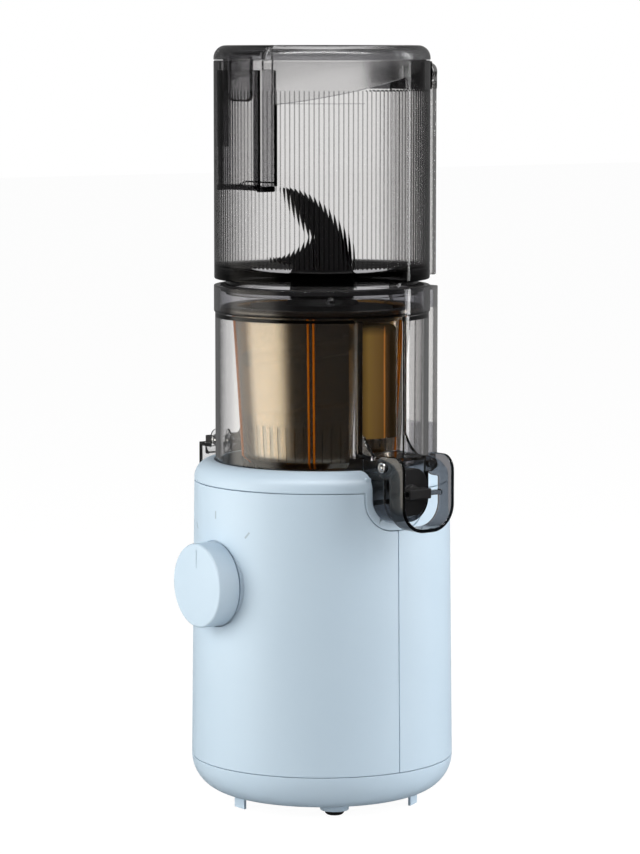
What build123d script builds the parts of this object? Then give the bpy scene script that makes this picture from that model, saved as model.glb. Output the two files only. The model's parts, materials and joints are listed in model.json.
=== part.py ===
"""Upright cold press juicer, self feeding, about 405 mm tall.

A round motor base carries a removable juicing chamber, which holds a slotted strainer and an
auger. A large hopper with a hinged lid stands on the chamber. The juicer's own axis is +Z, the
dial faces -Y, the pulp outlet faces +X, the juice outlet faces -X and the hinge column is at +Y.
The origin is on the axis, on the surface that the juicer stands on. Sizes are millimetres.
"""

import os
from math import acos, cos, pi, radians, sin, tan

from build123d import *

os.makedirs("parts", exist_ok=True)

# ---- clearances -------------------------------------------------------------------------------
seam = 0.35  # open line between two mouldings of the housing
seat_gap = 0.3  # rest gap under a piece that lifts or swings away
slip = 0.15  # radial gap of a fixed piece in its pocket
run_gap = 0.05  # radial gap of a shaft or pin that turns
swing_gap = 0.6  # gap round a hinge barrel

# ---- driving sizes ----------------------------------------------------------------------------
chamber_radius = 57.0
chamber_height = 111.0
hopper_height = 115.2
shell_height = 148.2

# ---- base -------------------------------------------------------------------------------------
well_gap = 0.6  # round the chamber in the base's well
shoulder_width = 10.8  # from the well's edge out to the shoulder
shell_taper = 1.8  # the shells widen downwards
wall = 2.6
foot_drop = 2.6  # rubber foot below its boss
boss_drop = 2.9  # foot boss below the pan's underside
pan_height = 19.5
cover_height = 11.0
shoulder_round = 9.6
well_depth = 18.0
lip_height = 4.0
lip_wall = 1.8
foot_radius = 5.2
foot_recess = 1.0
foot_edge = 1.2  # chamfer round the rubber foot
foot_boss_wall = 2.4
foot_inset = 25.4  # feet's centres in from the housing's wall
foot_count = 3
foot_turn = 93.0  # direction of the rear foot
tab_inset = 16.9
tab_turn = -90.0  # direction of the first tab, under the dial
tab_width = 9.0
tab_thickness = 1.6
tab_gap = 0.3  # above the surface that the juicer stands on
vent_radius = 21.0  # of the ring of vents
vent_length = 16.0
vent_width = 3.0
vent_count = 12

well_radius = chamber_radius + well_gap
shoulder_radius = well_radius + shoulder_width  # at the seam with the top cover
base_radius = shoulder_radius + shell_taper  # at the seam with the bottom pan
foot_ring_radius = base_radius - foot_inset
tab_ring_radius = base_radius - tab_inset
pan_underside = foot_drop + boss_drop
pan_floor = pan_underside + wall
pan_seam = pan_underside + pan_height
cover_seam = pan_seam + shell_height
rim_level = cover_seam + cover_height
deck_level = rim_level - well_depth

# ---- juicing chamber --------------------------------------------------------------------------
chamber_wall = 2.4
collar_proud = 0.6
collar_height = 14.0
chamber_floor = 2.6
ledge_width = 2.6
ledge_height = 3.0
ledge_drop = 13.8  # from the chamber's top edge to the ledge that the strainer sits on
hub_radius = 11.0
hub_wall = 2.0
hub_height = 22.0
hub_gap = 1.0  # round the hub, and over it
seal_radius = 9.0
seal_height = 4.0
seal_lip = 1.5
bay_half = 13.4  # half width of the bay over the pulp outlet
bay_depth = 6.2
rib_wall = 2.4

chamber_bottom = deck_level + seat_gap
chamber_top = chamber_bottom + chamber_height
chamber_deck = chamber_bottom + chamber_floor
chamber_inner = chamber_radius - chamber_wall
collar_radius = chamber_radius + collar_proud
hub_top = chamber_bottom + hub_height
ledge_level = chamber_top - ledge_drop
bay_outer = chamber_radius - bay_depth

# ---- spouts, and the notches that they stand in -----------------------------------------------
spout_half = 14.4
spout_wall = 2.0
spout_drop = 8.2  # spout's underside below the deck, as the juice has to run down and out
spout_round = 12.0
spout_length = 18.4  # from the chamber's wall to the front face of the spout's end wall
outlet_radius = 9.5
outlet_rise = 16.0  # outlet's centre above the spout's underside
notch_gap = 0.8
lobe_border = 4.0
lobe_round = 16.0
cheek_rise = 34.0  # top of the spout above its underside
cheek_sweep = 11.0  # extra height of the cheeks where they meet the chamber
sweep_reach = 13.0
cheek_sink = 1.0  # depth of the swept cheeks in the spout
pivot_reach = 2.0  # hinge pin beyond the spout's end wall
pivot_rise = 30.0  # hinge pin above the spout's underside
ear_radius = 6.0
pin_radius = 1.6
pin_head_radius = 2.5
pin_head = 1.1

spout_reach = chamber_radius + spout_length
pivot_x = spout_reach + pivot_reach
spout_bottom = deck_level - spout_drop
notch_bottom = spout_bottom - notch_gap
outlet_level = spout_bottom + outlet_rise
pivot_level = spout_bottom + pivot_rise
cheek_level = spout_bottom + cheek_rise
cheek_radius = cheek_rise - pivot_rise
notch_half = spout_half + notch_gap
spout_start = well_radius + wall + notch_gap  # where the spout's low part begins
bay_bottom = cheek_level
bay_top = ledge_level - rib_wall

# ---- pulp lever and juice cap -----------------------------------------------------------------
lever_wall = 1.9
lever_reach = 17.0  # lever's front edge beyond the hinge pin
lever_depth = 12.0
lever_drop = 33.2  # from the pivot to the lever's lowest edge
lever_round = 14.0
lever_top_round = 8.0
plug_half = 11.0
plug_height = 24.8
plug_round = 8.0
plug_thickness = 3.0
plug_stem_radius = 4.0
clip_half = 7.0  # clip that holds the plug on the lever's crossbar
clip_wall = 1.4
crossbar_height = 2.4
crossbar_depth = 4.0
cap_top_drop = 2.6  # juice cap's roof below the pivot
strap_width = 5.0  # soft strap over the juice cap, with three raised grips
strap_thickness = 1.0
strap_inset = 5.0  # in from the cap's front face
grip_length = 4.0
grip_rise = 4.0

lever_front = pivot_x + lever_reach
lever_half = spout_half + seat_gap + lever_wall
lever_bottom = pivot_level - lever_drop
lever_top = pivot_level + ear_radius
lever_back = lever_front - lever_depth
cap_top = pivot_level - cap_top_drop

# ---- strainer, auger and cutting wing ---------------------------------------------------------
strainer_room = 7.2  # between the chamber's wall and the strainer's top
strainer_taper = 11.5  # top radius less foot radius
strainer_wall = 2.0
strainer_flange = 2.6
flange_gap = 0.6
strainer_rise = 10.0  # strainer's foot above the chamber's floor
slot_count = 24
slot_width = 1.2
slot_height = 54.0
slot_rise = 18.0  # slots above the strainer's foot
port_half = 9.0  # pulp port in the strainer's wall
port_height = 12.0
port_inset = 5.0  # port's inner edge beyond the strainer's hole
flight_gap = 0.8
flight_pitch = 34.0
flight_thickness = 4.0
flight_overrun = 1.0  # trimmed off the flight's two ends
flight_trim = 6.0  # trimmed off the flight's edge
core_top_radius = 14.0
core_foot_radius = 22.0
core_rise = 4.0  # core's top above the strainer's
hex_across = 10.0
hex_gap = 0.12
hex_length = 20.0
wing_height = 58.2
wing_half = 28.3  # from the blade's axis to the tip of its lobe
wing_thickness = 6.0
wing_sweep = 46.0  # plan radius of the wing's curved blade
wing_turn = 54.5  # turns the blade's flat side away from the dial
wing_disc_radius = 17.0
wing_disc_height = 6.0

strainer_top_radius = chamber_inner - strainer_room
strainer_foot_radius = strainer_top_radius - strainer_taper
strainer_foot = chamber_deck + strainer_rise
flange_bottom = ledge_level + seat_gap
strainer_top = flange_bottom + strainer_flange
strainer_hole = hub_radius + hub_gap
auger_foot = strainer_foot + strainer_wall + flight_gap
auger_top = strainer_top + core_rise
socket_floor = hub_top + hub_gap
shaft_top = socket_floor + hex_length
wing_top = auger_top + wing_height

# ---- hopper and lid ---------------------------------------------------------------------------
hopper_inset = 0.2  # hopper's wall in from the chamber's collar
hopper_wall = 2.4
hopper_gap = 3.4  # open line between the chamber's collar and the hopper
hopper_floor = 6.0
funnel_drop = 2.0  # the hopper's floor slopes down to its mouth
mouth_lip = 6.0  # floor inside the neck
neck_room = 3.2  # for the gasket, between the neck and the chamber
neck_wall = 2.4
neck_length = 8.0
gasket_rise = 2.0
gasket_height = 3.0
lid_height = 7.6
lid_wall = 2.4
lid_round = 6.6
skirt_gap = 2.6
skirt_wall = 1.8
skirt_front_drop = 24.5
skirt_back_drop = 1.5
column_half = 13.0
column_inset = 0.5  # column's outer face in from the base's shoulder
column_wall = 2.0
column_root = 1.5  # depth of the column's sides in the wall that carries it
column_skin = 0.4  # gap between that wall and the column's hollow
socket_drop = 7.4  # foot of the chamber's column below the base's rim
column_drop = 2.5  # column's top edge below the chamber's
hinge_rise = 6.0  # hinge pin below the hopper's top edge
hinge_back = 5.4  # hinge pin in from the column's outer face
knuckle_radius = 4.6
knuckle_half = 6.7
hinge_pin_radius = 1.6
chute_half = 20.0
chute_inset = 14.5  # chute's inner face in from the hopper's outside
chute_wall = 1.5
chute_length = 62.8
chute_top_drop = 5.0
chute_slant = 10.0
flap_half = 21.5
flap_hinge_inset = 17.4  # hinge line of the feed flap in from the lid's edge
flap_barrel = 2.2
flap_gap = 0.8  # behind the barrel, where the open flap turns
flap_pin_radius = 0.9
flap_pin_end = 2.5
arm_root = 3.0  # depth of the hinge arm in the lid's edge
arm_drop = 3.0  # hinge arm's top below the lid's

hopper_radius = collar_radius - hopper_inset
neck_radius = chamber_inner - neck_room
mouth_radius = neck_radius - mouth_lip
column_reach = shoulder_radius - column_inset
hopper_bottom = chamber_top + hopper_gap
hopper_top = hopper_bottom + hopper_height
hopper_inner = hopper_radius - hopper_wall
lid_bottom = hopper_top + seat_gap
lid_top = lid_bottom + lid_height
lid_ceiling = lid_top - lid_wall
hinge_y = column_reach - hinge_back
hinge_z = hopper_top - hinge_rise
column_foot = rim_level - socket_drop
column_top = chamber_top - column_drop
flap_hinge_y = hopper_radius - flap_hinge_inset
flap_hinge_z = lid_top - flap_barrel

# ---- dial -------------------------------------------------------------------------------------
knob_radius = 22.2
knob_thickness = 12.4
knob_gap = 0.9
knob_drop = 50.7  # dial's centre below the seam with the top cover
knob_round = 1.2
knob_wall = 2.0
knob_shaft_radius = 3.0
knob_bore_depth = 8.0
pointer_length = 9.4
pointer_inset = 3.4
pointer_width = 0.7
pointer_depth = 0.5
pad_sink = 1.4  # the dial's flat pad behind the shell's face, on the middle line
pad_gap = 0.6  # between the dial's edge and the shell that it sinks into
pad_depth = 6.0
switch_size = 20.0
switch_round = 2.0
switch_depth = 12.0
switch_base = 1.0  # behind the dial's shaft
switch_gap = 1.0
bush_radius = 5.0

knob_level = cover_seam - knob_drop

# ---- drive train ------------------------------------------------------------------------------
pressure_angle = radians(20)
addendum_share = 0.8
dedendum_share = 1.05
backlash = 0.2
fast_module = 1.0
slow_module = 1.25
pinion_teeth = 12
idler_large_teeth = 36
idler_small_teeth = 12
output_teeth = 40
gear_width = 9.0
gearbox_floor = 3.0
gearbox_height = 34.0
gearbox_wall = 2.5
gearbox_main_radius = 31.0
gearbox_idler_radius = 23.0
gearbox_plate = 3.0
fast_gear_rise = 5.5
gear_spacing = 4.0  # between the fast pair and the slow pair
shaft_radius = 6.0
bush_outer = 9.0
bush_length = 8.0
bearing_radius = 13.0
bearing_width = 8.0
bearing_wall = 2.6
bearing_sink = 1.0  # depth of the bearing's seat in the cover plate
race_wall = 2.0
race_depth = 1.0
shaft_collar = 2.0
shaft_edge = 0.8
pin_sink = 1.0  # the idler pin's foot above the gearbox's underside
pinion_gap = 1.0
gear_hole_reach = 3.0
gear_holes = 6
idler_pin_radius = 3.0
ear_reach = 2.5  # screw ears' centres beyond the gearbox's wall
ear_angles = (170, 235, 300)
gearbox_ear_radius = 4.5
screw_radius = 1.6
screw_head_radius = 3.0
screw_head = 2.2
motor_bearing = -52.5  # direction of the motor's axis seen from the idler's, in degrees
motor_radius = 28.0
motor_wall = 1.5
motor_length = 62.0
motor_top = 94.0
motor_cap_height = 2.0
motor_shaft_radius = 2.5
motor_bush_radius = 5.0
motor_bush_length = 5.5
motor_vents = 6
motor_vent_radius = 4.0
motor_vent_inset = 11.2  # vents' centres in from the motor's wall
stack_radius = 21.0
stack_length = 36.0
stack_rise = 10.0  # above the motor's foot
stack_slots = 12
stack_slot_width = 2.4
stack_slot_depth = 10.0
magnet_thickness = 4.0
magnet_gap = 0.8
commutator_radius = 8.0
commutator_length = 7.0
brush_size = 4.0
fan_radius = 23.0
fan_blades = 7
fan_height = 6.0
fan_plate = 1.2
fan_hub_radius = 6.0
frame_plate = 3.0
frame_inset = 13.0  # frame's edge in from the shoulder
leg_radius = 4.5

idler_y = slow_module * (output_teeth + idler_small_teeth) / 2
motor_spacing = fast_module * (pinion_teeth + idler_large_teeth) / 2
motor_x = motor_spacing * cos(radians(motor_bearing))
motor_y = idler_y + motor_spacing * sin(radians(motor_bearing))
motor_bottom = motor_top - motor_length
motor_vent_ring = motor_radius - motor_vent_inset
gearbox_bottom = motor_top
gearbox_deck = gearbox_bottom + gearbox_floor
gearbox_top = gearbox_bottom + gearbox_height
cover_plate_top = gearbox_top + gearbox_plate
fast_gear_bottom = gearbox_bottom + fast_gear_rise
slow_gear_bottom = fast_gear_bottom + gear_width + gear_spacing
frame_level = gearbox_bottom - frame_plate
frame_radius = shoulder_radius - frame_inset
ear_ring_radius = gearbox_main_radius + ear_reach
stack_bottom = motor_bottom + stack_rise

# ---- control board, cord gland ----------------------------------------------------------------
board_inset = 23.0  # from the shoulder's radius
board_width = 40.0
board_height = 52.0
board_thickness = 1.6
board_part_height = 8.0
capacitor_radius = 6.5
relay_width = 11.0
relay_height = 15.0
sink_width = 8.0
sink_height = 18.0
gland_level = 36.0
gland_radius = 7.0
gland_flange_radius = 9.0
gland_flange = 2.0
gland_edge = 1.0
gland_reach = 10.0  # beyond the housing
gland_bore = 3.6
gland_length = 20.0


def save(piece, name):
    """Label one finished piece and write its STEP file."""
    piece.label = name
    export_step(piece, f"parts/{name}.step")


def housing_radius(level):
    """Outer radius of the tapered housing at a height."""
    return base_radius - shell_taper * (level - pan_seam) / shell_height


pad_face = housing_radius(knob_level) - pad_sink
knob_back = pad_face + knob_gap
knob_front = knob_back + knob_thickness


def u_face(half_width, bottom, top, corner):
    """An upright U-shaped face: straight sides and two rounded bottom corners."""
    with BuildSketch() as face:
        with Locations((0, (bottom + top) / 2)):
            Rectangle(2 * half_width, top - bottom)
        fillet(face.vertices().group_by(Axis.Y)[0], corner)
    return face.sketch


def ring(inner, outer, bottom, height):
    """An upright ring about the juicer's axis."""
    with BuildPart(mode=Mode.PRIVATE) as body:
        with BuildSketch(Plane.XY.offset(bottom)):
            Circle(outer)
            Circle(inner, mode=Mode.SUBTRACT)
        extrude(amount=height)
    return body.part


def ring_sector(inner, outer, z_range, half_width, x_side=0, y_side=0):
    """The stretch of an upright ring that lies within a half width of the X or Y axis, on one side."""
    reach = outer + half_width
    if x_side:
        x_range = sorted((0, x_side * reach))
        y_range = (-half_width, half_width)
    else:
        x_range = (-half_width, half_width)
        y_range = sorted((0, y_side * reach))
    with BuildPart(mode=Mode.PRIVATE) as body:
        add(ring(inner, outer, z_range[0], z_range[1] - z_range[0]))
        add(block(x_range, y_range, z_range), mode=Mode.INTERSECT)
    return body.part


def turned(*points):
    """A body turned about the juicer's axis from a closed outline of (radius, height) points."""
    with BuildPart(mode=Mode.PRIVATE) as body:
        with BuildSketch(Plane.XZ):
            with BuildLine():
                Polyline(*points, close=True)
            make_face()
        revolve(axis=Axis.Z)
    return body.part


def disc(x, y, bottom, radius, height):
    """An upright cylinder."""
    with BuildPart(mode=Mode.PRIVATE) as body:
        with BuildSketch(Plane.XY.offset(bottom)):
            with Locations((x, y)):
                Circle(radius)
        extrude(amount=height)
    return body.part


def block(x_range, y_range, z_range):
    """A box given by its limits along each axis."""
    with BuildPart(mode=Mode.PRIVATE) as body:
        with BuildSketch(Plane.XY.offset(z_range[0])):
            with Locations(((x_range[0] + x_range[1]) / 2, (y_range[0] + y_range[1]) / 2)):
                Rectangle(x_range[1] - x_range[0], y_range[1] - y_range[0])
        extrude(amount=z_range[1] - z_range[0])
    return body.part


def tooth_half_angle(teeth, module, radius):
    """Half the angle that an involute tooth fills at a radius, in radians."""
    pitch_radius = module * teeth / 2
    base_circle = pitch_radius * cos(pressure_angle)
    rolled = acos(min(1.0, base_circle / radius))
    at_pitch = (pi * module / 2 - backlash) / (2 * pitch_radius)
    return at_pitch + (tan(pressure_angle) - pressure_angle) - (tan(rolled) - rolled)


def gear_face(teeth, module, turn):
    """Face of a spur gear with stub involute teeth, its first tooth turned to an angle in degrees."""
    pitch_radius = module * teeth / 2
    root = pitch_radius - dedendum_share * module
    tip = pitch_radius + addendum_share * module
    flank = [max(root, pitch_radius * cos(pressure_angle)), pitch_radius, tip]
    angles = [tooth_half_angle(teeth, module, r) for r in flank]
    upper = [(r * cos(a), r * sin(a)) for r, a in zip(flank, angles)]
    foot = (root - module / 3, upper[0][1])
    outline = [foot, *upper]
    with BuildSketch() as tooth:
        with BuildLine():
            Polyline(*outline, *[(x, -y) for x, y in reversed(outline)], close=True)
        make_face()
    with BuildSketch() as face:
        Circle(root)
        with PolarLocations(0, teeth, start_angle=turn):
            add(tooth.sketch)
    return face.sketch


# ==== housing ==================================================================================

# The cover's lobes reach down round both spout notches, so the shells are cut to the same outline.
lobe_half = notch_half + lobe_border
lobe_bottom = notch_bottom - lobe_border
notch_round = spout_round + notch_gap
lobe_face = u_face(lobe_half, lobe_bottom, cheek_level, lobe_round)
shell_cut = u_face(lobe_half + seam, lobe_bottom - seam, cheek_level, lobe_round + seam)
notch_face = u_face(notch_half, notch_bottom, cheek_level, notch_round)
lining_top = rim_level - wall - seam
lining_face = u_face(notch_half + wall, notch_bottom - wall, lining_top, notch_round + wall)

with BuildPart() as housing_wall:
    add(
        turned(
            (base_radius - wall, pan_seam),
            (base_radius, pan_seam),
            (shoulder_radius, cover_seam),
            (shoulder_radius - wall, cover_seam),
        )
    )
    with BuildSketch(Plane.YZ):
        add(shell_cut)
    extrude(amount=2 * base_radius, both=True, mode=Mode.SUBTRACT)

with BuildPart() as front_shell:
    add(housing_wall.part)
    split(bisect_by=Plane.XZ.offset(seam / 2), keep=Keep.TOP)
    # A flat pad carries the dial, sunk in the shell's face and shaped to its inside.
    with BuildSketch(Plane.XZ.offset(pad_face)):
        with Locations((0, knob_level)):
            Circle(knob_radius + pad_gap)
    extrude(amount=base_radius, mode=Mode.SUBTRACT)
    with BuildPart(mode=Mode.PRIVATE) as pad:
        with BuildSketch(Plane.XZ.offset(pad_face - pad_depth)):
            with Locations((0, knob_level)):
                Circle(knob_radius - pointer_depth)
        extrude(amount=pad_depth)
        add(disc(0, 0, 0, housing_radius(knob_level) - wall / 2, cover_seam), mode=Mode.SUBTRACT)
    add(pad.part)
    with BuildSketch(Plane.XZ):
        with Locations((0, knob_level)):
            Circle(bush_radius + slip)
    extrude(amount=2 * base_radius, mode=Mode.SUBTRACT)

with BuildPart() as rear_shell:
    add(housing_wall.part)
    split(bisect_by=Plane.XZ.offset(-seam / 2), keep=Keep.BOTTOM)
    with BuildSketch(Plane.XZ):
        with Locations((0, gland_level)):
            Circle(gland_radius + slip)
    extrude(amount=-2 * base_radius, mode=Mode.SUBTRACT)

save(front_shell.part, "front_shell")
save(rear_shell.part, "rear_shell")

# The top cover is one moulding: shoulder, well for the chamber, notch linings and lobes.
cover_bottom = cover_seam + seam
cover_inner = shoulder_radius - wall
cover_lip = cover_inner - slip
lobe_foot = notch_bottom - 2 * lobe_border
with BuildPart() as top_cover:
    with BuildSketch(Plane.XZ) as cover_profile:
        with BuildLine():
            Polyline(
                (cover_inner, cover_bottom),
                (shoulder_radius, cover_bottom),
                (shoulder_radius, rim_level),
                (well_radius, rim_level),
                (well_radius, deck_level),
                (seal_radius, deck_level),
                (seal_radius, deck_level - wall),
                (well_radius + wall, deck_level - wall),
                (well_radius + wall, lining_top),
                (cover_inner, cover_seam + wall),
                close=True,
            )
        make_face()
        shoulder = cover_profile.vertices().group_by(Axis.X)[-1].sort_by(Axis.Y)[-1]
        fillet(shoulder, shoulder_round)
    revolve(axis=Axis.Z)
    # A lip centres the cover inside the two shells.
    add(
        turned(
            (cover_lip - lip_wall, cover_seam - lip_height),
            (cover_lip, cover_seam - lip_height),
            (cover_lip, cover_bottom),
            (cover_inner + slip, cover_bottom),
            (cover_inner + slip, cover_bottom + lip_height),
            (cover_lip - lip_wall, cover_bottom + lip_height),
        )
    )
    # The lobes carry the housing's wall down round the notches.
    with BuildPart(mode=Mode.PRIVATE) as lobes:
        add(
            turned(
                (cover_inner, cover_bottom),
                (shoulder_radius, cover_bottom),
                (housing_radius(lobe_foot), lobe_foot),
                (housing_radius(lobe_foot) - wall, lobe_foot),
            )
        )
        with BuildSketch(Plane.YZ):
            add(lobe_face)
        extrude(amount=2 * base_radius, both=True, mode=Mode.INTERSECT)
    add(lobes.part)
    # Linings close the housing round each notch.
    lining_inner = well_radius + wall / 2
    lining_outer = shoulder_radius - wall / 2
    with BuildPart(mode=Mode.PRIVATE) as linings:
        lining_bottom = notch_bottom - wall
        add(ring(lining_inner, lining_outer, lining_bottom, lining_top - lining_bottom))
        with BuildSketch(Plane.YZ):
            add(lining_face)
        extrude(amount=2 * base_radius, both=True, mode=Mode.INTERSECT)
    add(linings.part)
    add(ring(well_radius, well_radius + wall, notch_bottom - wall, deck_level - notch_bottom))
    for side in (1, -1):
        with BuildSketch(Plane.YZ.offset(side * (well_radius + wall))):
            add(notch_face)
        extrude(amount=side * base_radius, mode=Mode.SUBTRACT)
        with BuildSketch(Plane.YZ.offset(side * (well_radius - wall))):
            add(notch_face)
            with Locations((0, deck_level + base_radius)):
                Rectangle(2 * base_radius, 2 * base_radius, mode=Mode.INTERSECT)
        extrude(amount=side * base_radius, mode=Mode.SUBTRACT)
    # The chamber's column stands in a socket at the back.
    socket_half = column_half + seam
    socket_bottom = column_foot - seat_gap
    socket_range = (socket_bottom - wall, lining_top)
    add(ring_sector(lining_inner, lining_outer, socket_range, socket_half + wall, y_side=1))
    add(
        block((-socket_half, socket_half), (well_radius - wall, base_radius), (socket_bottom, cheek_level)),
        mode=Mode.SUBTRACT,
    )

save(top_cover.part, "top_cover")

with BuildPart() as bottom_pan:
    flat = base_radius - pan_height
    with BuildSketch(Plane.XZ):
        with BuildLine():
            Line((0, pan_underside), (flat, pan_underside))
            CenterArc((flat, pan_seam), pan_height, -90, 90)
            Line((base_radius, pan_seam), (base_radius - wall, pan_seam))
            CenterArc((flat, pan_seam), pan_height - wall, 0, -90)
            Line((flat, pan_floor), (0, pan_floor))
            Line((0, pan_floor), (0, pan_underside))
        make_face()
    revolve(axis=Axis.Z)
    add(ring(base_radius - wall / 2, base_radius + wall, pan_seam - seam, 2 * seam), mode=Mode.SUBTRACT)
    pan_inner = base_radius - wall
    add(
        turned(
            (pan_inner - slip - lip_wall, pan_seam - lip_height),
            (pan_inner + slip, pan_seam - lip_height),
            (pan_inner + slip, pan_seam),
            (pan_inner - slip, pan_seam),
            (pan_inner - slip, pan_seam + lip_height),
            (pan_inner - slip - lip_wall, pan_seam + lip_height),
        )
    )
    with BuildSketch(Plane.XY.offset(foot_drop)):
        with PolarLocations(foot_ring_radius, foot_count, start_angle=foot_turn):
            Circle(foot_radius + foot_boss_wall)
    extrude(amount=boss_drop + wall / 2)
    with BuildSketch(Plane.XY.offset(tab_gap)):
        with PolarLocations(tab_ring_radius, foot_count, start_angle=tab_turn):
            Rectangle(tab_thickness, tab_width)
    extrude(amount=pan_floor - tab_gap)
    with BuildSketch(Plane.XY.offset(foot_drop)):
        with PolarLocations(foot_ring_radius, foot_count, start_angle=foot_turn):
            Circle(foot_radius + slip)
    extrude(amount=foot_recess, mode=Mode.SUBTRACT)
    with BuildSketch(Plane.XY.offset(foot_drop + foot_recess)):
        with PolarLocations(foot_ring_radius, foot_count, start_angle=foot_turn):
            Circle(screw_head_radius + slip)
    extrude(amount=screw_head + slip, mode=Mode.SUBTRACT)
    with BuildSketch(Plane.XY.offset(foot_drop + foot_recess)):
        with PolarLocations(foot_ring_radius, foot_count, start_angle=foot_turn):
            Circle(screw_radius + slip)
    extrude(amount=pan_floor, mode=Mode.SUBTRACT)
    with BuildSketch(Plane.XY):
        with PolarLocations(vent_radius, vent_count):
            SlotOverall(vent_length, vent_width)
    extrude(amount=pan_floor + wall, mode=Mode.SUBTRACT)

save(bottom_pan.part, "bottom_pan")

with BuildPart() as rubber_feet:
    with BuildSketch():
        with PolarLocations(foot_ring_radius, foot_count, start_angle=foot_turn):
            Circle(foot_radius)
    extrude(amount=foot_drop + foot_recess)
    chamfer(rubber_feet.edges().group_by(Axis.Z)[0], foot_edge)

save(rubber_feet.part, "rubber_feet")

# ==== inner frame, screws and cord gland =======================================================

with BuildPart() as inner_frame:
    with BuildSketch(Plane.XY.offset(pan_floor)):
        with PolarLocations(foot_ring_radius, foot_count, start_angle=foot_turn):
            Circle(leg_radius)
    extrude(amount=gearbox_bottom - pan_floor)
    with BuildSketch(Plane.XY.offset(frame_level)):
        Circle(frame_radius)
        with PolarLocations(frame_radius - 2 * leg_radius, foot_count, start_angle=30):
            Circle(leg_radius, mode=Mode.SUBTRACT)
    extrude(amount=frame_plate)
    # The motor hangs through the plate, clear of the legs.
    with BuildSketch(Plane.XY.offset(motor_bottom - seat_gap)):
        with Locations((motor_x, motor_y)):
            Circle(motor_radius + seat_gap)
    extrude(amount=motor_length + 2 * seat_gap, mode=Mode.SUBTRACT)
    with BuildSketch(Plane.XY.offset(pan_floor)):
        with PolarLocations(foot_ring_radius, foot_count, start_angle=foot_turn):
            Circle(screw_radius + run_gap)
    extrude(amount=4 * screw_head, mode=Mode.SUBTRACT)
    ear_spots = [(ear_ring_radius * cos(radians(a)), ear_ring_radius * sin(radians(a))) for a in ear_angles]
    with BuildSketch(Plane.XY.offset(frame_level)):
        with Locations(*ear_spots):
            Circle(screw_radius + run_gap)
    extrude(amount=frame_plate, mode=Mode.SUBTRACT)

save(inner_frame.part, "inner_frame")

with BuildPart() as foot_screws:
    with BuildSketch(Plane.XY.offset(foot_drop + foot_recess + slip)):
        with PolarLocations(foot_ring_radius, foot_count, start_angle=foot_turn):
            Circle(screw_head_radius)
    extrude(amount=screw_head)
    with BuildSketch(Plane.XY.offset(foot_drop + foot_recess + slip)):
        with PolarLocations(foot_ring_radius, foot_count, start_angle=foot_turn):
            Circle(screw_radius)
    extrude(amount=pan_floor + 3 * screw_head - foot_drop - foot_recess)

save(foot_screws.part, "foot_screws")

with BuildPart() as gearbox_screws:
    with BuildSketch(Plane.XY.offset(cover_plate_top)):
        with Locations(*ear_spots):
            Circle(screw_head_radius)
    extrude(amount=screw_head)
    with BuildSketch(Plane.XY.offset(frame_level)):
        with Locations(*ear_spots):
            Circle(screw_radius)
    extrude(amount=cover_plate_top - frame_level + screw_head / 2)

save(gearbox_screws.part, "gearbox_screws")

with BuildPart() as cord_gland:
    gland_end = base_radius + gland_reach
    with BuildSketch(Plane.XZ.offset(-gland_end)):
        with Locations((0, gland_level)):
            Circle(gland_radius)
    extrude(amount=gland_length)
    chamfer(cord_gland.edges().group_by(Axis.Y)[-1], gland_edge)
    with BuildSketch(Plane.XZ.offset(-(housing_radius(gland_level) + seat_gap + gland_flange))):
        with Locations((0, gland_level)):
            Circle(gland_flange_radius)
    extrude(amount=gland_flange)
    with BuildSketch(Plane.XZ.offset(-gland_end)):
        with Locations((0, gland_level)):
            Circle(gland_bore)
    extrude(amount=gland_length, mode=Mode.SUBTRACT)

save(cord_gland.part, "cord_gland")

# ==== motor ====================================================================================

motor_spot = (motor_x, motor_y)
with BuildPart() as motor_case:
    with BuildSketch(Plane.XY.offset(motor_bottom)):
        with Locations(motor_spot):
            Circle(motor_radius)
    extrude(amount=motor_length - motor_cap_height)
    with BuildSketch(Plane.XY.offset(motor_bottom + motor_wall)):
        with Locations(motor_spot):
            Circle(motor_radius - motor_wall)
    extrude(amount=motor_length, mode=Mode.SUBTRACT)
    with BuildSketch(Plane.XY.offset(motor_bottom)):
        with Locations(motor_spot):
            Circle(motor_bush_radius + motor_wall)
    extrude(amount=motor_bush_length)
    with BuildSketch(Plane.XY.offset(motor_bottom)):
        with Locations(motor_spot):
            Circle(motor_bush_radius)
    extrude(amount=motor_bush_length, mode=Mode.SUBTRACT)
    with BuildSketch(Plane.XY.offset(motor_bottom)):
        with Locations(motor_spot):
            with PolarLocations(motor_vent_ring, motor_vents):
                Circle(motor_vent_radius)
    extrude(amount=motor_wall, mode=Mode.SUBTRACT)

with BuildPart() as motor_cap:
    with BuildSketch(Plane.XY.offset(motor_top - motor_cap_height)):
        with Locations(motor_spot):
            Circle(motor_radius)
    extrude(amount=motor_cap_height)
    with BuildSketch(Plane.XY.offset(motor_top - motor_bush_length)):
        with Locations(motor_spot):
            Circle(motor_bush_radius + motor_wall)
    extrude(amount=motor_bush_length)
    with BuildSketch(Plane.XY.offset(motor_top - motor_bush_length)):
        with Locations(motor_spot):
            Circle(motor_bush_radius)
    extrude(amount=motor_bush_length, mode=Mode.SUBTRACT)

with BuildPart() as motor_bushes:
    for level in (motor_bottom, motor_top - motor_bush_length):
        with BuildSketch(Plane.XY.offset(level)):
            with Locations(motor_spot):
                Circle(motor_bush_radius)
                Circle(motor_shaft_radius + run_gap, mode=Mode.SUBTRACT)
        extrude(amount=motor_bush_length)

magnet_outer = motor_radius - motor_wall
with BuildPart() as motor_magnets:
    with BuildSketch(Plane.XY.offset(stack_bottom)):
        with Locations(motor_spot):
            Circle(magnet_outer)
            Circle(magnet_outer - magnet_thickness, mode=Mode.SUBTRACT)
            Rectangle(2 * motor_radius, motor_radius / 2, mode=Mode.SUBTRACT)
    extrude(amount=stack_length)

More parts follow.
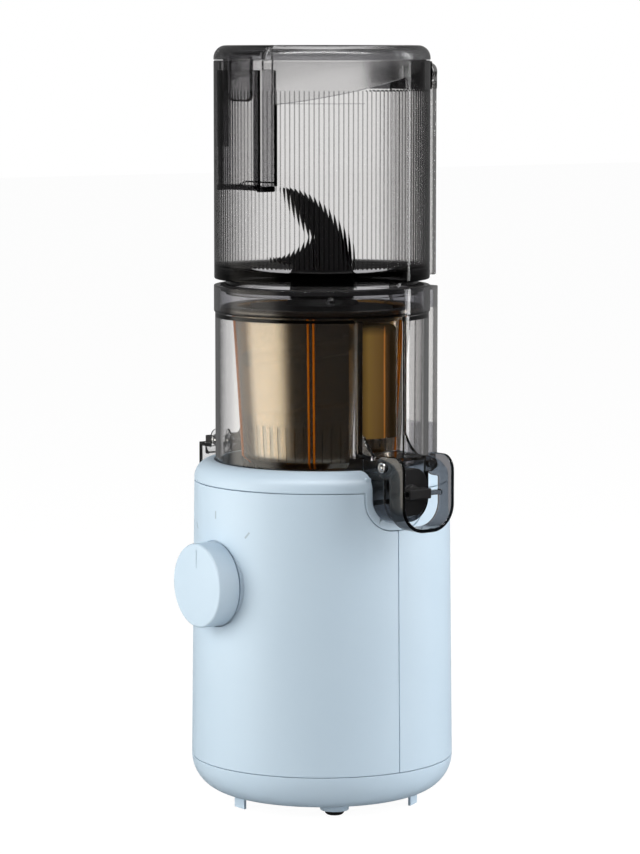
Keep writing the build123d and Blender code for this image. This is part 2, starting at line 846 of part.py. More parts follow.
with BuildPart() as motor_brushes:
    brush_level = motor_top - motor_cap_height - motor_bush_length - brush_size
    with BuildSketch(Plane.XY.offset(brush_level - brush_size / 2)):
        with Locations(motor_spot):
            with PolarLocations(commutator_radius + run_gap + brush_size, 2):
                Rectangle(2 * brush_size, brush_size)
    extrude(amount=brush_size)
    with BuildSketch(Plane.XY.offset(brush_level + brush_size / 2)):
        with Locations(motor_spot):
            with PolarLocations(commutator_radius + 1.5 * brush_size, 2):
                Rectangle(brush_size, brush_size)
    extrude(amount=motor_top - motor_cap_height - brush_level - brush_size / 2)

fan_bottom = motor_bottom - fan_height - 2 * seat_gap
with BuildPart() as motor_rotor:
    with BuildSketch(Plane.XY.offset(fan_bottom)):
        with Locations(motor_spot):
            Circle(motor_shaft_radius)
    extrude(amount=fast_gear_bottom + gear_width - fan_bottom)
    with BuildSketch(Plane.XY.offset(stack_bottom)):
        with Locations(motor_spot):
            Circle(stack_radius)
            with PolarLocations(stack_radius - stack_slot_depth / 2 + stack_slot_width, stack_slots):
                SlotOverall(stack_slot_depth, stack_slot_width, mode=Mode.SUBTRACT)
    extrude(amount=stack_length)
    with BuildSketch(Plane.XY.offset(brush_level - commutator_length / 2)):
        with Locations(motor_spot):
            Circle(commutator_radius)
    extrude(amount=commutator_length)

with BuildPart() as cooling_fan:
    with BuildSketch(Plane.XY.offset(fan_bottom)):
        with Locations(motor_spot):
            Circle(fan_radius)
    extrude(amount=fan_plate)
    with BuildSketch(Plane.XY.offset(fan_bottom)):
        with Locations(motor_spot):
            Circle(fan_hub_radius)
            with PolarLocations((fan_hub_radius + fan_radius) / 2, fan_blades):
                Rectangle(fan_radius - fan_hub_radius + fan_plate, fan_plate)
    extrude(amount=fan_height)
    with BuildSketch(Plane.XY.offset(fan_bottom)):
        with Locations(motor_spot):
            Circle(motor_shaft_radius)
    extrude(amount=fan_height, mode=Mode.SUBTRACT)

for piece, name in (
    (motor_case, "motor_case"),
    (motor_cap, "motor_cap"),
    (motor_bushes, "motor_bushes"),
    (motor_magnets, "motor_magnets"),
    (motor_brushes, "motor_brushes"),
    (motor_rotor, "motor_rotor"),
    (cooling_fan, "cooling_fan"),
):
    save(piece.part, name)

# ==== gearbox ==================================================================================


def gearbox_face(inset):
    """Plan outline of the gearbox, drawn in by a wall."""
    with BuildSketch() as face:
        Circle(gearbox_main_radius - inset)
        with Locations((0, idler_y)):
            Circle(gearbox_idler_radius - inset)
        make_hull()
    return face.sketch


pinion_tip = fast_module * (pinion_teeth / 2 + addendum_share)
bearing_seat = cover_plate_top - bearing_sink
with BuildPart() as gearbox_case:
    with BuildSketch(Plane.XY.offset(gearbox_bottom)):
        add(gearbox_face(0))
        with Locations(*ear_spots):
            Circle(gearbox_ear_radius)
    extrude(amount=gearbox_height)
    with BuildSketch(Plane.XY.offset(gearbox_deck)):
        add(gearbox_face(gearbox_wall))
    extrude(amount=gearbox_height, mode=Mode.SUBTRACT)
    with BuildSketch(Plane.XY.offset(gearbox_bottom)):
        Circle(bush_outer + gearbox_wall)
    extrude(amount=bush_length)
    with BuildSketch(Plane.XY.offset(gearbox_bottom + seam)):
        Circle(bush_outer)
    extrude(amount=bush_length, mode=Mode.SUBTRACT)
    with BuildSketch(Plane.XY.offset(gearbox_bottom)):
        with Locations(motor_spot):
            Circle(pinion_tip + pinion_gap)
        with Locations(*ear_spots):
            Circle(screw_radius + run_gap)
    extrude(amount=gearbox_height, mode=Mode.SUBTRACT)
    with BuildSketch(Plane.XY.offset(gearbox_bottom + pin_sink)):
        with Locations((0, idler_y)):
            Circle(idler_pin_radius)
    extrude(amount=gearbox_floor, mode=Mode.SUBTRACT)

with BuildPart() as gearbox_cover:
    with BuildSketch(Plane.XY.offset(gearbox_top)):
        add(gearbox_face(0))
        with Locations(*ear_spots):
            Circle(gearbox_ear_radius)
    extrude(amount=gearbox_plate)
    with BuildSketch(Plane.XY.offset(gearbox_top)):
        Circle(bearing_radius + bearing_wall)
    extrude(amount=gearbox_plate + bearing_width)
    with BuildSketch(Plane.XY.offset(bearing_seat)):
        Circle(bearing_radius)
    extrude(amount=bearing_width + bearing_sink, mode=Mode.SUBTRACT)
    with BuildSketch(Plane.XY.offset(gearbox_top)):
        Circle(bush_outer)
        with Locations((0, idler_y)):
            Circle(idler_pin_radius)
        with Locations(*ear_spots):
            Circle(screw_radius + run_gap)
    extrude(amount=gearbox_plate, mode=Mode.SUBTRACT)

with BuildPart() as drive_bearings:
    add(ring(shaft_radius + run_gap, bush_outer, gearbox_bottom + seam, bush_length - seam))
    add(ring(shaft_radius + run_gap, bearing_radius, bearing_seat, bearing_width))
    race_groove = bearing_seat + bearing_width - race_depth
    add(
        ring(shaft_radius + race_wall, bearing_radius - race_wall, race_groove, race_depth),
        mode=Mode.SUBTRACT,
    )

with BuildPart() as output_gear:
    with BuildSketch(Plane.XY.offset(slow_gear_bottom)):
        add(gear_face(output_teeth, slow_module, 0))
        Circle(shaft_radius, mode=Mode.SUBTRACT)
        with PolarLocations(bearing_radius + gear_hole_reach, gear_holes):
            Circle(shaft_radius - shaft_collar, mode=Mode.SUBTRACT)
    extrude(amount=gear_width)

with BuildPart() as drive_shaft:
    with BuildSketch(Plane.XY.offset(gearbox_bottom + 2 * seam)):
        Circle(shaft_radius)
    extrude(amount=socket_floor - gearbox_bottom - 2 * seam)
    with BuildSketch(Plane.XY.offset(slow_gear_bottom + gear_width)):
        Circle(shaft_radius + shaft_collar)
    extrude(amount=gearbox_top - slow_gear_bottom - gear_width)
    with BuildSketch(Plane.XY.offset(socket_floor)):
        RegularPolygon(radius=hex_across / 2, side_count=6, major_radius=False)
    extrude(amount=hex_length)
    chamfer(drive_shaft.edges().group_by(Axis.Z)[-1], shaft_edge)

with BuildPart() as idler_gear:
    with BuildSketch(Plane.XY.offset(fast_gear_bottom)):
        with Locations((0, idler_y)):
            add(gear_face(idler_large_teeth, fast_module, motor_bearing))
    extrude(amount=gear_width)
    with BuildSketch(Plane.XY.offset(fast_gear_bottom + gear_width)):
        with Locations((0, idler_y)):
            add(gear_face(idler_small_teeth, slow_module, -90 + 180 / idler_small_teeth))
    extrude(amount=slow_gear_bottom - fast_gear_bottom)
    with BuildSketch(Plane.XY.offset(fast_gear_bottom)):
        with Locations((0, idler_y)):
            Circle(idler_pin_radius + run_gap)
    extrude(amount=gearbox_height, mode=Mode.SUBTRACT)

with BuildPart() as idler_pin:
    with BuildSketch(Plane.XY.offset(gearbox_bottom + pin_sink)):
        with Locations((0, idler_y)):
            Circle(idler_pin_radius)
    extrude(amount=gearbox_height + gearbox_plate - pin_sink)

with BuildPart() as motor_pinion:
    with BuildSketch(Plane.XY.offset(fast_gear_bottom)):
        with Locations(motor_spot):
            add(gear_face(pinion_teeth, fast_module, motor_bearing + 180 + 180 / pinion_teeth))
            Circle(motor_shaft_radius, mode=Mode.SUBTRACT)
    extrude(amount=gear_width)

with BuildPart() as shaft_seal:
    add(
        turned(
            (shaft_radius + seat_gap, deck_level - wall),
            (seal_radius, deck_level - wall),
            (seal_radius, deck_level - seam),
            (shaft_radius + seal_lip, deck_level - seam),
            (shaft_radius + seat_gap, deck_level - wall / 2),
        )
    )

for piece, name in (
    (gearbox_case, "gearbox_case"),
    (gearbox_cover, "gearbox_cover"),
    (drive_bearings, "drive_bearings"),
    (output_gear, "output_gear"),
    (drive_shaft, "drive_shaft"),
    (idler_gear, "idler_gear"),
    (idler_pin, "idler_pin"),
    (motor_pinion, "motor_pinion"),
    (shaft_seal, "shaft_seal"),
):
    save(piece.part, name)

# ==== dial, switch and control board ===========================================================

dial_centre = (0, knob_level)
with BuildPart() as knob:
    with BuildSketch(Plane.XZ.offset(knob_back)):
        with Locations(dial_centre):
            Circle(knob_radius)
    extrude(amount=knob_thickness)
    fillet(knob.edges().group_by(Axis.Y)[0], knob_round)
    with BuildSketch(Plane.XZ.offset(knob_back)):
        with Locations(dial_centre):
            Circle(knob_radius - knob_wall)
            Circle(knob_shaft_radius + knob_wall, mode=Mode.SUBTRACT)
    extrude(amount=knob_thickness - knob_wall, mode=Mode.SUBTRACT)
    with BuildSketch(Plane.XZ.offset(knob_back)):
        with Locations(dial_centre):
            Circle(knob_shaft_radius)
    extrude(amount=knob_bore_depth, mode=Mode.SUBTRACT)
    with BuildSketch(Plane.XZ.offset(knob_front - pointer_depth)):
        with Locations((0, knob_level + knob_radius - pointer_inset - pointer_length / 2)):
            Rectangle(pointer_width, pointer_length)
    extrude(amount=pointer_depth, mode=Mode.SUBTRACT)

switch_front = housing_radius(knob_level) - wall - switch_gap
switch_floor = switch_front - switch_depth + switch_base
with BuildPart() as rotary_switch:
    with BuildSketch(Plane.XZ.offset(switch_front - switch_depth)):
        with Locations(dial_centre):
            RectangleRounded(switch_size, switch_size, switch_round)
    extrude(amount=switch_depth)
    with BuildSketch(Plane.XZ.offset(switch_front)):
        with Locations(dial_centre):
            Circle(bush_radius)
    extrude(amount=pad_face - switch_front)
    with BuildSketch(Plane.XZ.offset(switch_floor)):
        with Locations(dial_centre):
            Circle(knob_shaft_radius + run_gap)
    extrude(amount=base_radius, mode=Mode.SUBTRACT)

with BuildPart() as knob_shaft:
    with BuildSketch(Plane.XZ.offset(switch_floor + seam)):
        with Locations(dial_centre):
            Circle(knob_shaft_radius)
    extrude(amount=knob_back + knob_bore_depth - switch_floor - seam)

board_x = board_inset - shoulder_radius
board_top = frame_level - seat_gap
board_bottom = board_top - board_height
with BuildPart() as control_board:
    add(
        block(
            (board_x, board_x + board_thickness),
            (-board_width / 2, board_width / 2),
            (board_bottom, board_top),
        )
    )

# Two parts stand in a row near the board's foot and two near its top.
low_row = board_bottom + board_height / 4
high_row = board_top - board_height / 4
with BuildPart() as board_parts:
    with BuildSketch(Plane.YZ.offset(board_x)):
        with Locations((-board_width / 4, low_row)):
            Circle(capacitor_radius)
        with Locations((board_width / 4, low_row)):
            Rectangle(relay_width, relay_height)
        with Locations((-board_width / 4, high_row)):
            Rectangle(relay_height, relay_width)
        with Locations((board_width / 4, high_row)):
            Rectangle(sink_width, sink_height)
    extrude(amount=-board_part_height)

for piece, name in (
    (knob, "knob"),
    (rotary_switch, "rotary_switch"),
    (knob_shaft, "knob_shaft"),
    (control_board, "control_board"),
    (board_parts, "board_parts"),
):
    save(piece.part, name)

# ==== juicing chamber ==========================================================================


def side_profile(*points):
    """A body drawn in the XZ plane and drawn out to both sides over the spout's whole width."""
    with BuildPart(mode=Mode.PRIVATE) as body:
        with BuildSketch(Plane.XZ):
            with BuildLine():
                Polyline(*points, close=True)
            make_face()
        extrude(amount=spout_half, both=True)
    return body.part


# One spout faces +X. The other is its mirror image.
spout_root = chamber_radius - chamber_wall / 2  # the spout grows out of the middle of the wall
with BuildPart() as spout_shape:
    add(
        side_profile(
            (spout_root, chamber_bottom),
            (spout_start, chamber_bottom),
            (spout_start, spout_bottom),
            (spout_reach, spout_bottom),
            (spout_reach, cheek_level),
            (spout_root, cheek_level),
        )
    )
    with BuildSketch(Plane.YZ):
        add(u_face(spout_half, spout_bottom, cheek_level, spout_round))
    extrude(amount=2 * base_radius, mode=Mode.INTERSECT)
    # Two ears carry the hinge pins, and two cheeks sweep up to the chamber's wall.
    with BuildSketch(Plane.XZ):
        with Locations((pivot_x, pivot_level)):
            Circle(cheek_radius)
        with Locations(((pivot_x + spout_reach - spout_wall) / 2, pivot_level)):
            Rectangle(pivot_x - spout_reach + spout_wall, 2 * cheek_radius)
    extrude(amount=spout_half, both=True)
    with BuildSketch(Plane.XZ):
        with BuildLine():
            sweep_top = (spout_root, cheek_level + cheek_sweep)
            sweep_end = (chamber_radius + sweep_reach, cheek_level - cheek_sink)
            sweep_middle = (chamber_radius + sweep_reach / 3, cheek_level + cheek_sweep / 3)
            ThreePointArc(sweep_top, sweep_middle, sweep_end)
            Line(sweep_end, (spout_root, cheek_level - cheek_sink))
            Line((spout_root, cheek_level - cheek_sink), sweep_top)
        make_face()
    extrude(amount=spout_half, both=True)
    add(
        block(
            (chamber_inner, lever_front),
            (-spout_half + spout_wall, spout_half - spout_wall),
            (cheek_level, chamber_top),
        ),
        mode=Mode.SUBTRACT,
    )
    add(
        block(
            (spout_reach, lever_front),
            (-spout_half + spout_wall, spout_half - spout_wall),
            (spout_bottom, chamber_top),
        ),
        mode=Mode.SUBTRACT,
    )
    with BuildSketch(Plane.XZ):
        with Locations((pivot_x, pivot_level)):
            Circle(pin_radius)
    extrude(amount=spout_half, both=True, mode=Mode.SUBTRACT)

hollow_start = chamber_inner - spout_wall - chamber_wall
hollow_end = spout_reach - spout_wall
hollow_floor = spout_bottom + spout_wall
with BuildPart() as spout_hollow:
    add(
        side_profile(
            (hollow_start, chamber_deck),
            (spout_start + spout_wall, chamber_deck),
            (spout_start + spout_wall, hollow_floor),
            (hollow_end, hollow_floor),
            (hollow_end, cheek_level - spout_wall),
            (hollow_start, cheek_level - spout_wall),
        )
    )
    with BuildSketch(Plane.YZ):
        add(u_face(spout_half - spout_wall, hollow_floor, cheek_level, spout_round - spout_wall))
    extrude(amount=2 * base_radius, mode=Mode.INTERSECT)
    with BuildSketch(Plane.YZ.offset(spout_reach - 2 * spout_wall)):
        with Locations((0, outlet_level)):
            Circle(outlet_radius)
    extrude(amount=3 * spout_wall)

floor_hole = hub_radius - hub_wall / 2
with BuildPart() as juicing_chamber:
    add(
        turned(
            (floor_hole, chamber_bottom),
            (chamber_radius, chamber_bottom),
            (chamber_radius, chamber_top - collar_height),
            (collar_radius, chamber_top - collar_height),
            (collar_radius, chamber_top),
            (chamber_inner, chamber_top),
            (chamber_inner, ledge_level),
            (chamber_inner - ledge_width, ledge_level),
            (chamber_inner - ledge_width, ledge_level - ledge_height / 2),
            (chamber_inner, ledge_level - ledge_height),
            (chamber_inner, chamber_deck),
            (floor_hole, chamber_deck),
        )
    )
    # Over the pulp outlet the wall stands back between two upright ribs.
    bay_range = (bay_bottom - spout_wall, bay_top + rib_wall)
    bay_skin = chamber_radius - seam
    add(ring_sector(bay_outer - rib_wall, bay_skin, bay_range, bay_half + rib_wall, x_side=1))
    add(
        ring_sector(bay_outer, base_radius, (bay_bottom, bay_top), bay_half, x_side=1),
        mode=Mode.SUBTRACT,
    )
    add(spout_shape.part)
    add(spout_shape.part.mirror(Plane.YZ))
    add(spout_hollow.part, mode=Mode.SUBTRACT)
    add(spout_hollow.part.mirror(Plane.YZ), mode=Mode.SUBTRACT)
    # The hub rises round the drive shaft and keeps the juice in.
    add(disc(0, 0, chamber_bottom, hub_radius, hub_height))
    add(disc(0, 0, chamber_bottom, shaft_radius + 2 * seat_gap, hub_height), mode=Mode.SUBTRACT)
    add(disc(0, 0, hub_top - seal_height, seal_radius, seal_height), mode=Mode.SUBTRACT)
    # A hollow column at the back lines up with the hopper's.
    add(
        block(
            (-column_half, column_half),
            (chamber_radius - column_root, column_reach),
            (column_foot, column_top),
        )
    )
    add(
        block(
            (-column_half + column_wall, column_half - column_wall),
            (chamber_radius + column_skin, column_reach - column_wall),
            (column_foot, column_top - column_wall),
        ),
        mode=Mode.SUBTRACT,
    )

with BuildPart() as chamber_seal:
    add(
        turned(
            (shaft_radius + seat_gap, hub_top - seal_height),
            (seal_radius, hub_top - seal_height),
            (seal_radius, hub_top - seam),
            (shaft_radius + seal_lip, hub_top - seam),
            (shaft_radius + seat_gap, hub_top - seal_height / 2),
        )
    )

with BuildPart() as lever_pins:
    for x_side in (1, -1):
        for y_side in (1, -1):
            shank = lever_half + seat_gap - spout_half + spout_wall
            with BuildSketch(Plane.XZ.offset(-y_side * (spout_half - spout_wall))):
                with Locations((x_side * pivot_x, pivot_level)):
                    Circle(pin_radius)
            extrude(amount=-y_side * shank)
            with BuildSketch(Plane.XZ.offset(-y_side * (lever_half + seat_gap))):
                with Locations((x_side * pivot_x, pivot_level)):
                    Circle(pin_head_radius)
            extrude(amount=-y_side * pin_head)

save(juicing_chamber.part, "juicing_chamber")
save(chamber_seal.part, "chamber_seal")
save(lever_pins.part, "hinge_rivets")

# ==== pulp lever and juice cap =================================================================

with BuildPart() as pulp_lever:
    # Two side plates: an ear round each pin, and an upright that turns its top corner.
    with BuildSketch(Plane.XZ) as plate:
        with BuildLine():
            Polyline(
                (pivot_x, lever_top),
                (lever_front, lever_top),
                (lever_front, lever_bottom),
                (lever_back, lever_bottom),
                (lever_back, pivot_level - ear_radius),
                (pivot_x, pivot_level - ear_radius),
                close=True,
            )
        make_face()
        top_corner = plate.vertices().group_by(Axis.X)[-1].sort_by(Axis.Y)[-1]
        fillet(top_corner, lever_top_round)
        with Locations((pivot_x, pivot_level)):
            Circle(ear_radius)
    extrude(amount=lever_half, both=True)
    with BuildSketch(Plane.YZ):
        add(u_face(lever_half, lever_bottom, lever_top + lever_wall, lever_round))
    extrude(amount=2 * base_radius, mode=Mode.INTERSECT)
    with BuildSketch(Plane.YZ):
        lever_hollow_top = lever_top + 2 * lever_wall
        inner_half = lever_half - lever_wall
        add(u_face(inner_half, lever_bottom + lever_wall, lever_hollow_top, lever_round - lever_wall))
    extrude(amount=2 * base_radius, mode=Mode.SUBTRACT)
    # A bar between the plates carries the plug.
    bar_half = lever_half - lever_wall / 2
    bar_range = (lever_back, lever_back + crossbar_depth)
    bar_low = outlet_level - crossbar_height / 2
    add(block(bar_range, (-bar_half, bar_half), (bar_low, bar_low + crossbar_height)))
    with BuildSketch(Plane.XZ):
        with Locations((pivot_x, pivot_level)):
            Circle(pin_radius + run_gap)
    extrude(amount=base_radius, both=True, mode=Mode.SUBTRACT)

# The soft plug closes the outlet, and its clip is pushed over the crossbar.
plug_face = spout_reach + seat_gap
clip_back = lever_back - clip_wall
clip_height = crossbar_height + 2 * clip_wall
with BuildPart() as pulp_plug:
    with BuildSketch(Plane.YZ.offset(plug_face)):
        with Locations((0, outlet_level)):
            RectangleRounded(2 * plug_half, plug_height, plug_round)
    extrude(amount=plug_thickness)
    with BuildSketch(Plane.YZ.offset(plug_face)):
        with Locations((0, outlet_level)):
            Circle(plug_stem_radius)
    extrude(amount=clip_back + clip_wall / 2 - plug_face)
    with BuildSketch(Plane.YZ.offset(clip_back)):
        with Locations((0, outlet_level)):
            Rectangle(2 * clip_half, clip_height)
    extrude(amount=crossbar_depth + 2 * clip_wall)
    with BuildSketch(Plane.YZ.offset(lever_back)):
        with Locations((0, outlet_level)):
            Rectangle(2 * clip_half, crossbar_height)
    extrude(amount=crossbar_depth, mode=Mode.SUBTRACT)

with BuildPart() as juice_cap:
    with BuildSketch(Plane.YZ.offset(-lever_front)):
        add(u_face(lever_half, lever_bottom, cap_top, lever_round))
    extrude(amount=lever_front - spout_reach - plug_thickness)
    with BuildSketch(Plane.YZ.offset(-lever_front + lever_wall)):
        add(u_face(inner_half, lever_bottom + lever_wall, cap_top - lever_wall, lever_round - lever_wall))
    extrude(amount=lever_front, mode=Mode.SUBTRACT)
    with BuildPart(mode=Mode.PRIVATE) as cap_ears:
        with BuildSketch(Plane.XZ):
            with Locations((-pivot_x, pivot_level)):
                Circle(ear_radius)
            with Locations((-pivot_x - ear_radius, pivot_level - cap_top_drop - ear_radius / 2)):
                Rectangle(2 * ear_radius, ear_radius)
        extrude(amount=lever_half, both=True)
        with BuildSketch(Plane.XZ):
            with Locations((-pivot_x, pivot_level)):
                Circle(2 * ear_radius)
        extrude(amount=lever_half - lever_wall, both=True, mode=Mode.SUBTRACT)
        with BuildSketch(Plane.XZ):
            with Locations((-pivot_x, pivot_level)):
                Circle(pin_radius + run_gap)
        extrude(amount=base_radius, both=True, mode=Mode.SUBTRACT)
    add(cap_ears.part)
    # The roof ends clear of the spout's ears.
    add(
        block(
            (-pivot_x - ear_radius, -spout_reach),
            (-inner_half, inner_half),
            (cap_top - 2 * lever_wall, lever_top),
        ),
        mode=Mode.SUBTRACT,
    )
    cap_post_end = -spout_reach - seat_gap - plug_thickness
    with BuildSketch(Plane.YZ.offset(-lever_front + lever_wall / 2)):
        with Locations((0, outlet_level)):
            Circle(plug_stem_radius)
    extrude(amount=lever_front - lever_wall / 2 + cap_post_end)

with BuildPart() as juice_seal:
    with BuildSketch(Plane.YZ.offset(-plug_face)):
        with Locations((0, outlet_level)):
            RectangleRounded(2 * plug_half, plug_height, plug_round)
    extrude(amount=-plug_thickness)

# A soft strap lies over the cap's roof, with a grip at its middle and at each end.
with BuildPart() as cap_strap:
    strap_start = strap_inset - lever_front
    strap_half = lever_half - lever_wall / 2
    add(
        block(
            (strap_start, strap_start + strap_width),
            (-strap_half, strap_half),
            (cap_top, cap_top + strap_thickness),
        )
    )
    with BuildSketch(Plane.XY.offset(cap_top)):
        with Locations((strap_start + strap_width / 2, 0)):
            with GridLocations(strap_width, strap_half - grip_length / 2, 1, 3):
                Rectangle(strap_width, grip_length)
    extrude(amount=grip_rise)

for piece, name in (
    (pulp_lever, "pulp_lever"),
    (pulp_plug, "pulp_plug"),
    (juice_cap, "juice_cap"),
    (juice_seal, "juice_seal"),
    (cap_strap, "cap_strap"),
):
    save(piece.part, name)

# ==== strainer and auger =======================================================================

strainer_inner_foot = strainer_foot_radius - strainer_wall
port_start = strainer_hole + port_inset
strainer_inner_top = strainer_top_radius - strainer_wall
with BuildPart() as strainer:
    add(
        turned(
            (strainer_hole, strainer_foot),
            (strainer_foot_radius, strainer_foot),
            (strainer_top_radius, flange_bottom),
            (chamber_inner - flange_gap, flange_bottom),
            (chamber_inner - flange_gap, strainer_top),
            (strainer_inner_top, strainer_top),
            (strainer_inner_foot, strainer_foot + strainer_wall),
            (strainer_hole, strainer_foot + strainer_wall),
        )
    )
    with BuildSketch(Plane.XY.offset(strainer_foot + slot_rise)):
        with PolarLocations(strainer_top_radius - slot_width, slot_count, start_angle=180 / slot_count):
            Rectangle(strainer_top_radius / 2, slot_width)
    extrude(amount=slot_height, mode=Mode.SUBTRACT)
    port_floor = strainer_foot + strainer_wall
    port_range = (port_floor, port_floor + port_height)
    add(block((port_start, base_radius), (-port_half, port_half), port_range), mode=Mode.SUBTRACT)

flight_foot_radius = strainer_inner_foot - flight_gap
flight_top_radius = strainer_inner_top - flight_gap
with BuildPart() as auger:
    # One helical flight, trimmed to the strainer's taper.
    flight_length = strainer_top - auger_foot + flight_overrun
    flight_base = auger_foot - flight_overrun / 2
    with BuildLine() as flight_path:
        Helix(flight_pitch, flight_length, core_foot_radius, center=(0, 0, flight_base))
    flight_start = Plane(origin=flight_path.line @ 0, x_dir=(1, 0, 0), z_dir=flight_path.line % 0)
    with BuildSketch(flight_start):
        with Locations(((flight_top_radius + core_top_radius) / 2 - core_foot_radius, 0)):
            Rectangle(flight_top_radius - core_top_radius + flight_trim, flight_thickness)
    sweep(path=flight_path.line, is_frenet=True)
    add(
        turned(
            (0, auger_foot),
            (flight_foot_radius, auger_foot),
            (flight_top_radius, strainer_top - flight_gap),
            (0, strainer_top - flight_gap),
        ),
        mode=Mode.INTERSECT,
    )
    add(turned((0, auger_foot), (core_foot_radius, auger_foot), (core_top_radius, auger_top), (0, auger_top)))
    add(disc(0, 0, auger_foot, strainer_hole, socket_floor - auger_foot), mode=Mode.SUBTRACT)
    with BuildSketch(Plane.XY.offset(socket_floor)):
        RegularPolygon(radius=hex_across / 2 + hex_gap, side_count=6, major_radius=False)
    extrude(amount=hex_length + hub_gap, mode=Mode.SUBTRACT)

# The black wing rises from a disc on the auger's top. Its outline is drawn across the blade.
wing_plane = Plane(
    origin=(0, 0, auger_top),
    x_dir=(cos(radians(wing_turn)), sin(radians(wing_turn)), 0),
    z_dir=(sin(radians(wing_turn)), -cos(radians(wing_turn)), 0),
)



def on_blade(across, up):
    """A point of the blade's outline, by its shares of the blade's half width and height."""
    return (across * wing_half, up * wing_height)


with BuildPart() as cutter_wing:
    with BuildSketch(wing_plane):
        with BuildLine():
            tip = on_blade(-0.75, 1)
            lobe_tip = on_blade(-1, 0.33)
            notch = on_blade(-0.19, 0.55)
            heel = on_blade(0.6, 0.19)
            Spline(tip, on_blade(-0.31, 0.94), on_blade(0.27, 0.69), on_blade(0.54, 0.46), heel)
            Polyline(heel, on_blade(0.59, 0), on_blade(-0.58, 0), on_blade(-0.58, 0.28), lobe_tip)
            Spline(lobe_tip, on_blade(-0.5, 0.41), notch)
            Spline(notch, on_blade(-0.43, 0.7), tip)
        make_face()
    extrude(amount=wing_sweep / 2, both=True)
    # The blade is curved in plan: it follows a ring that passes through the auger's axis.
    sweep_centre = wing_plane.z_dir * -wing_sweep
    with BuildSketch(Plane.XY.offset(auger_top)):
        with Locations((sweep_centre.X, sweep_centre.Y)):
            Circle(wing_sweep + wing_thickness / 2)
            Circle(wing_sweep - wing_thickness / 2, mode=Mode.SUBTRACT)
    extrude(amount=wing_height, mode=Mode.INTERSECT)
    add(disc(0, 0, auger_top, wing_disc_radius, wing_disc_height))

save(strainer.part, "strainer")
save(auger.part, "auger")
save(cutter_wing.part, "cutter_wing")

# ==== hopper ===================================================================================

neck_bottom = hopper_bottom - neck_length
with BuildPart() as hopper:
    add(
        turned(
            (neck_radius - neck_wall, neck_bottom),
            (neck_radius, neck_bottom),
            (neck_radius, hopper_bottom),
            (hopper_radius, hopper_bottom),
            (hopper_radius, hopper_top),
            (hopper_inner, hopper_top),
            (hopper_inner, hopper_bottom + hopper_floor),
            (mouth_radius, hopper_bottom + hopper_floor - funnel_drop),
            (mouth_radius, hopper_bottom),
            (neck_radius - neck_wall, hopper_bottom),
        )
    )
    hopper_column_top = hinge_z - knuckle_radius - swing_gap
    add(
        block(
            (-column_half, column_half),
            (hopper_radius - column_root, column_reach),
            (hopper_bottom, hopper_column_top),
        )
    )
    add(
        block(
            (-column_half + column_wall, column_half - column_wall),
            (hopper_radius + column_skin, column_reach - column_wall),
            (hopper_bottom, hopper_column_top - column_wall),
        ),
        mode=Mode.SUBTRACT,
    )
    # Two knuckles stand on the column, one at each side of the lid's.
    for side in (1, -1):
        knuckle_start = side * (knuckle_half + seat_gap)
        with BuildSketch(Plane.YZ.offset(knuckle_start)):
            with Locations((hinge_y, hinge_z)):
                Circle(knuckle_radius)
            with Locations((hinge_y, hinge_z - knuckle_radius)):
                Rectangle(2 * knuckle_radius, 2 * knuckle_radius)
            with Locations(((hopper_radius - column_root + hinge_y) / 2, hinge_z - knuckle_radius)):
                Rectangle(hinge_y - hopper_radius + column_root, 2 * knuckle_radius)
            with Locations((hinge_y, hinge_z)):
                Circle(hinge_pin_radius, mode=Mode.SUBTRACT)
        extrude(amount=side * (column_half - knuckle_half - seat_gap))

with BuildPart() as hopper_gasket:
    gasket_bottom = neck_bottom + gasket_rise
    add(ring(neck_radius, chamber_inner - seat_gap, gasket_bottom, gasket_height))

# The feed chute is a pocket inside the hopper's front wall, open above and below.
chute_back = hopper_radius - chute_inset
chute_top = hopper_top - chute_top_drop
chute_bottom = chute_top - chute_length
with BuildPart() as feed_chute:
    add(disc(0, 0, chute_bottom, hopper_inner, chute_length))
    add(
        block((-chute_half, chute_half), (-hopper_radius, -chute_back), (chute_bottom, chute_top)),
        mode=Mode.INTERSECT,
    )
    with BuildPart(mode=Mode.PRIVATE) as chute_space:
        add(disc(0, 0, chute_bottom, hopper_inner - chute_wall, chute_length))
        add(
            block(
                (-chute_half + chute_wall, chute_half - chute_wall),
                (-hopper_radius, -chute_back - chute_wall),
                (chute_bottom, chute_top),
            ),
            mode=Mode.INTERSECT,
        )
    add(chute_space.part, mode=Mode.SUBTRACT)
    # Its lower edge slants up towards the middle of the hopper.
    with BuildSketch(Plane.YZ):
        with BuildLine():
            Polyline(
                (-hopper_radius, chute_bottom),
                (-chute_back + chute_wall, chute_bottom),
                (-chute_back + chute_wall, chute_bottom + chute_slant),
                close=True,
            )
        make_face()
    extrude(amount=chute_half, both=True, mode=Mode.SUBTRACT)

save(hopper.part, "hopper")
save(hopper_gasket.part, "hopper_gasket")
save(feed_chute.part, "feed_chute")

# ==== lid and feed flap ========================================================================

skirt_radius = hopper_inner - skirt_gap
skirt_bottom = lid_bottom - skirt_front_drop
flap_cut_y = flap_hinge_y - flap_barrel - flap_gap  # the lid's notch ends behind the barrel
with BuildPart() as lid_form:
    with BuildSketch(Plane.XZ) as lid_profile:
        with BuildLine():
            Polyline(
                (0, lid_ceiling),
                (hopper_inner, lid_ceiling),
                (hopper_inner, lid_bottom),
                (hopper_radius, lid_bottom),
                (hopper_radius, lid_top),
                (0, lid_top),
                close=True,
            )
        make_face()
        rim_corner = lid_profile.vertices().group_by(Axis.X)[-1].sort_by(Axis.Y)[-1]
        fillet(rim_corner, lid_round)
        inner_corner = lid_profile.vertices().sort_by_distance((hopper_inner, lid_ceiling))[0]
        fillet(inner_corner, lid_round - lid_wall)
    revolve(axis=Axis.Z)

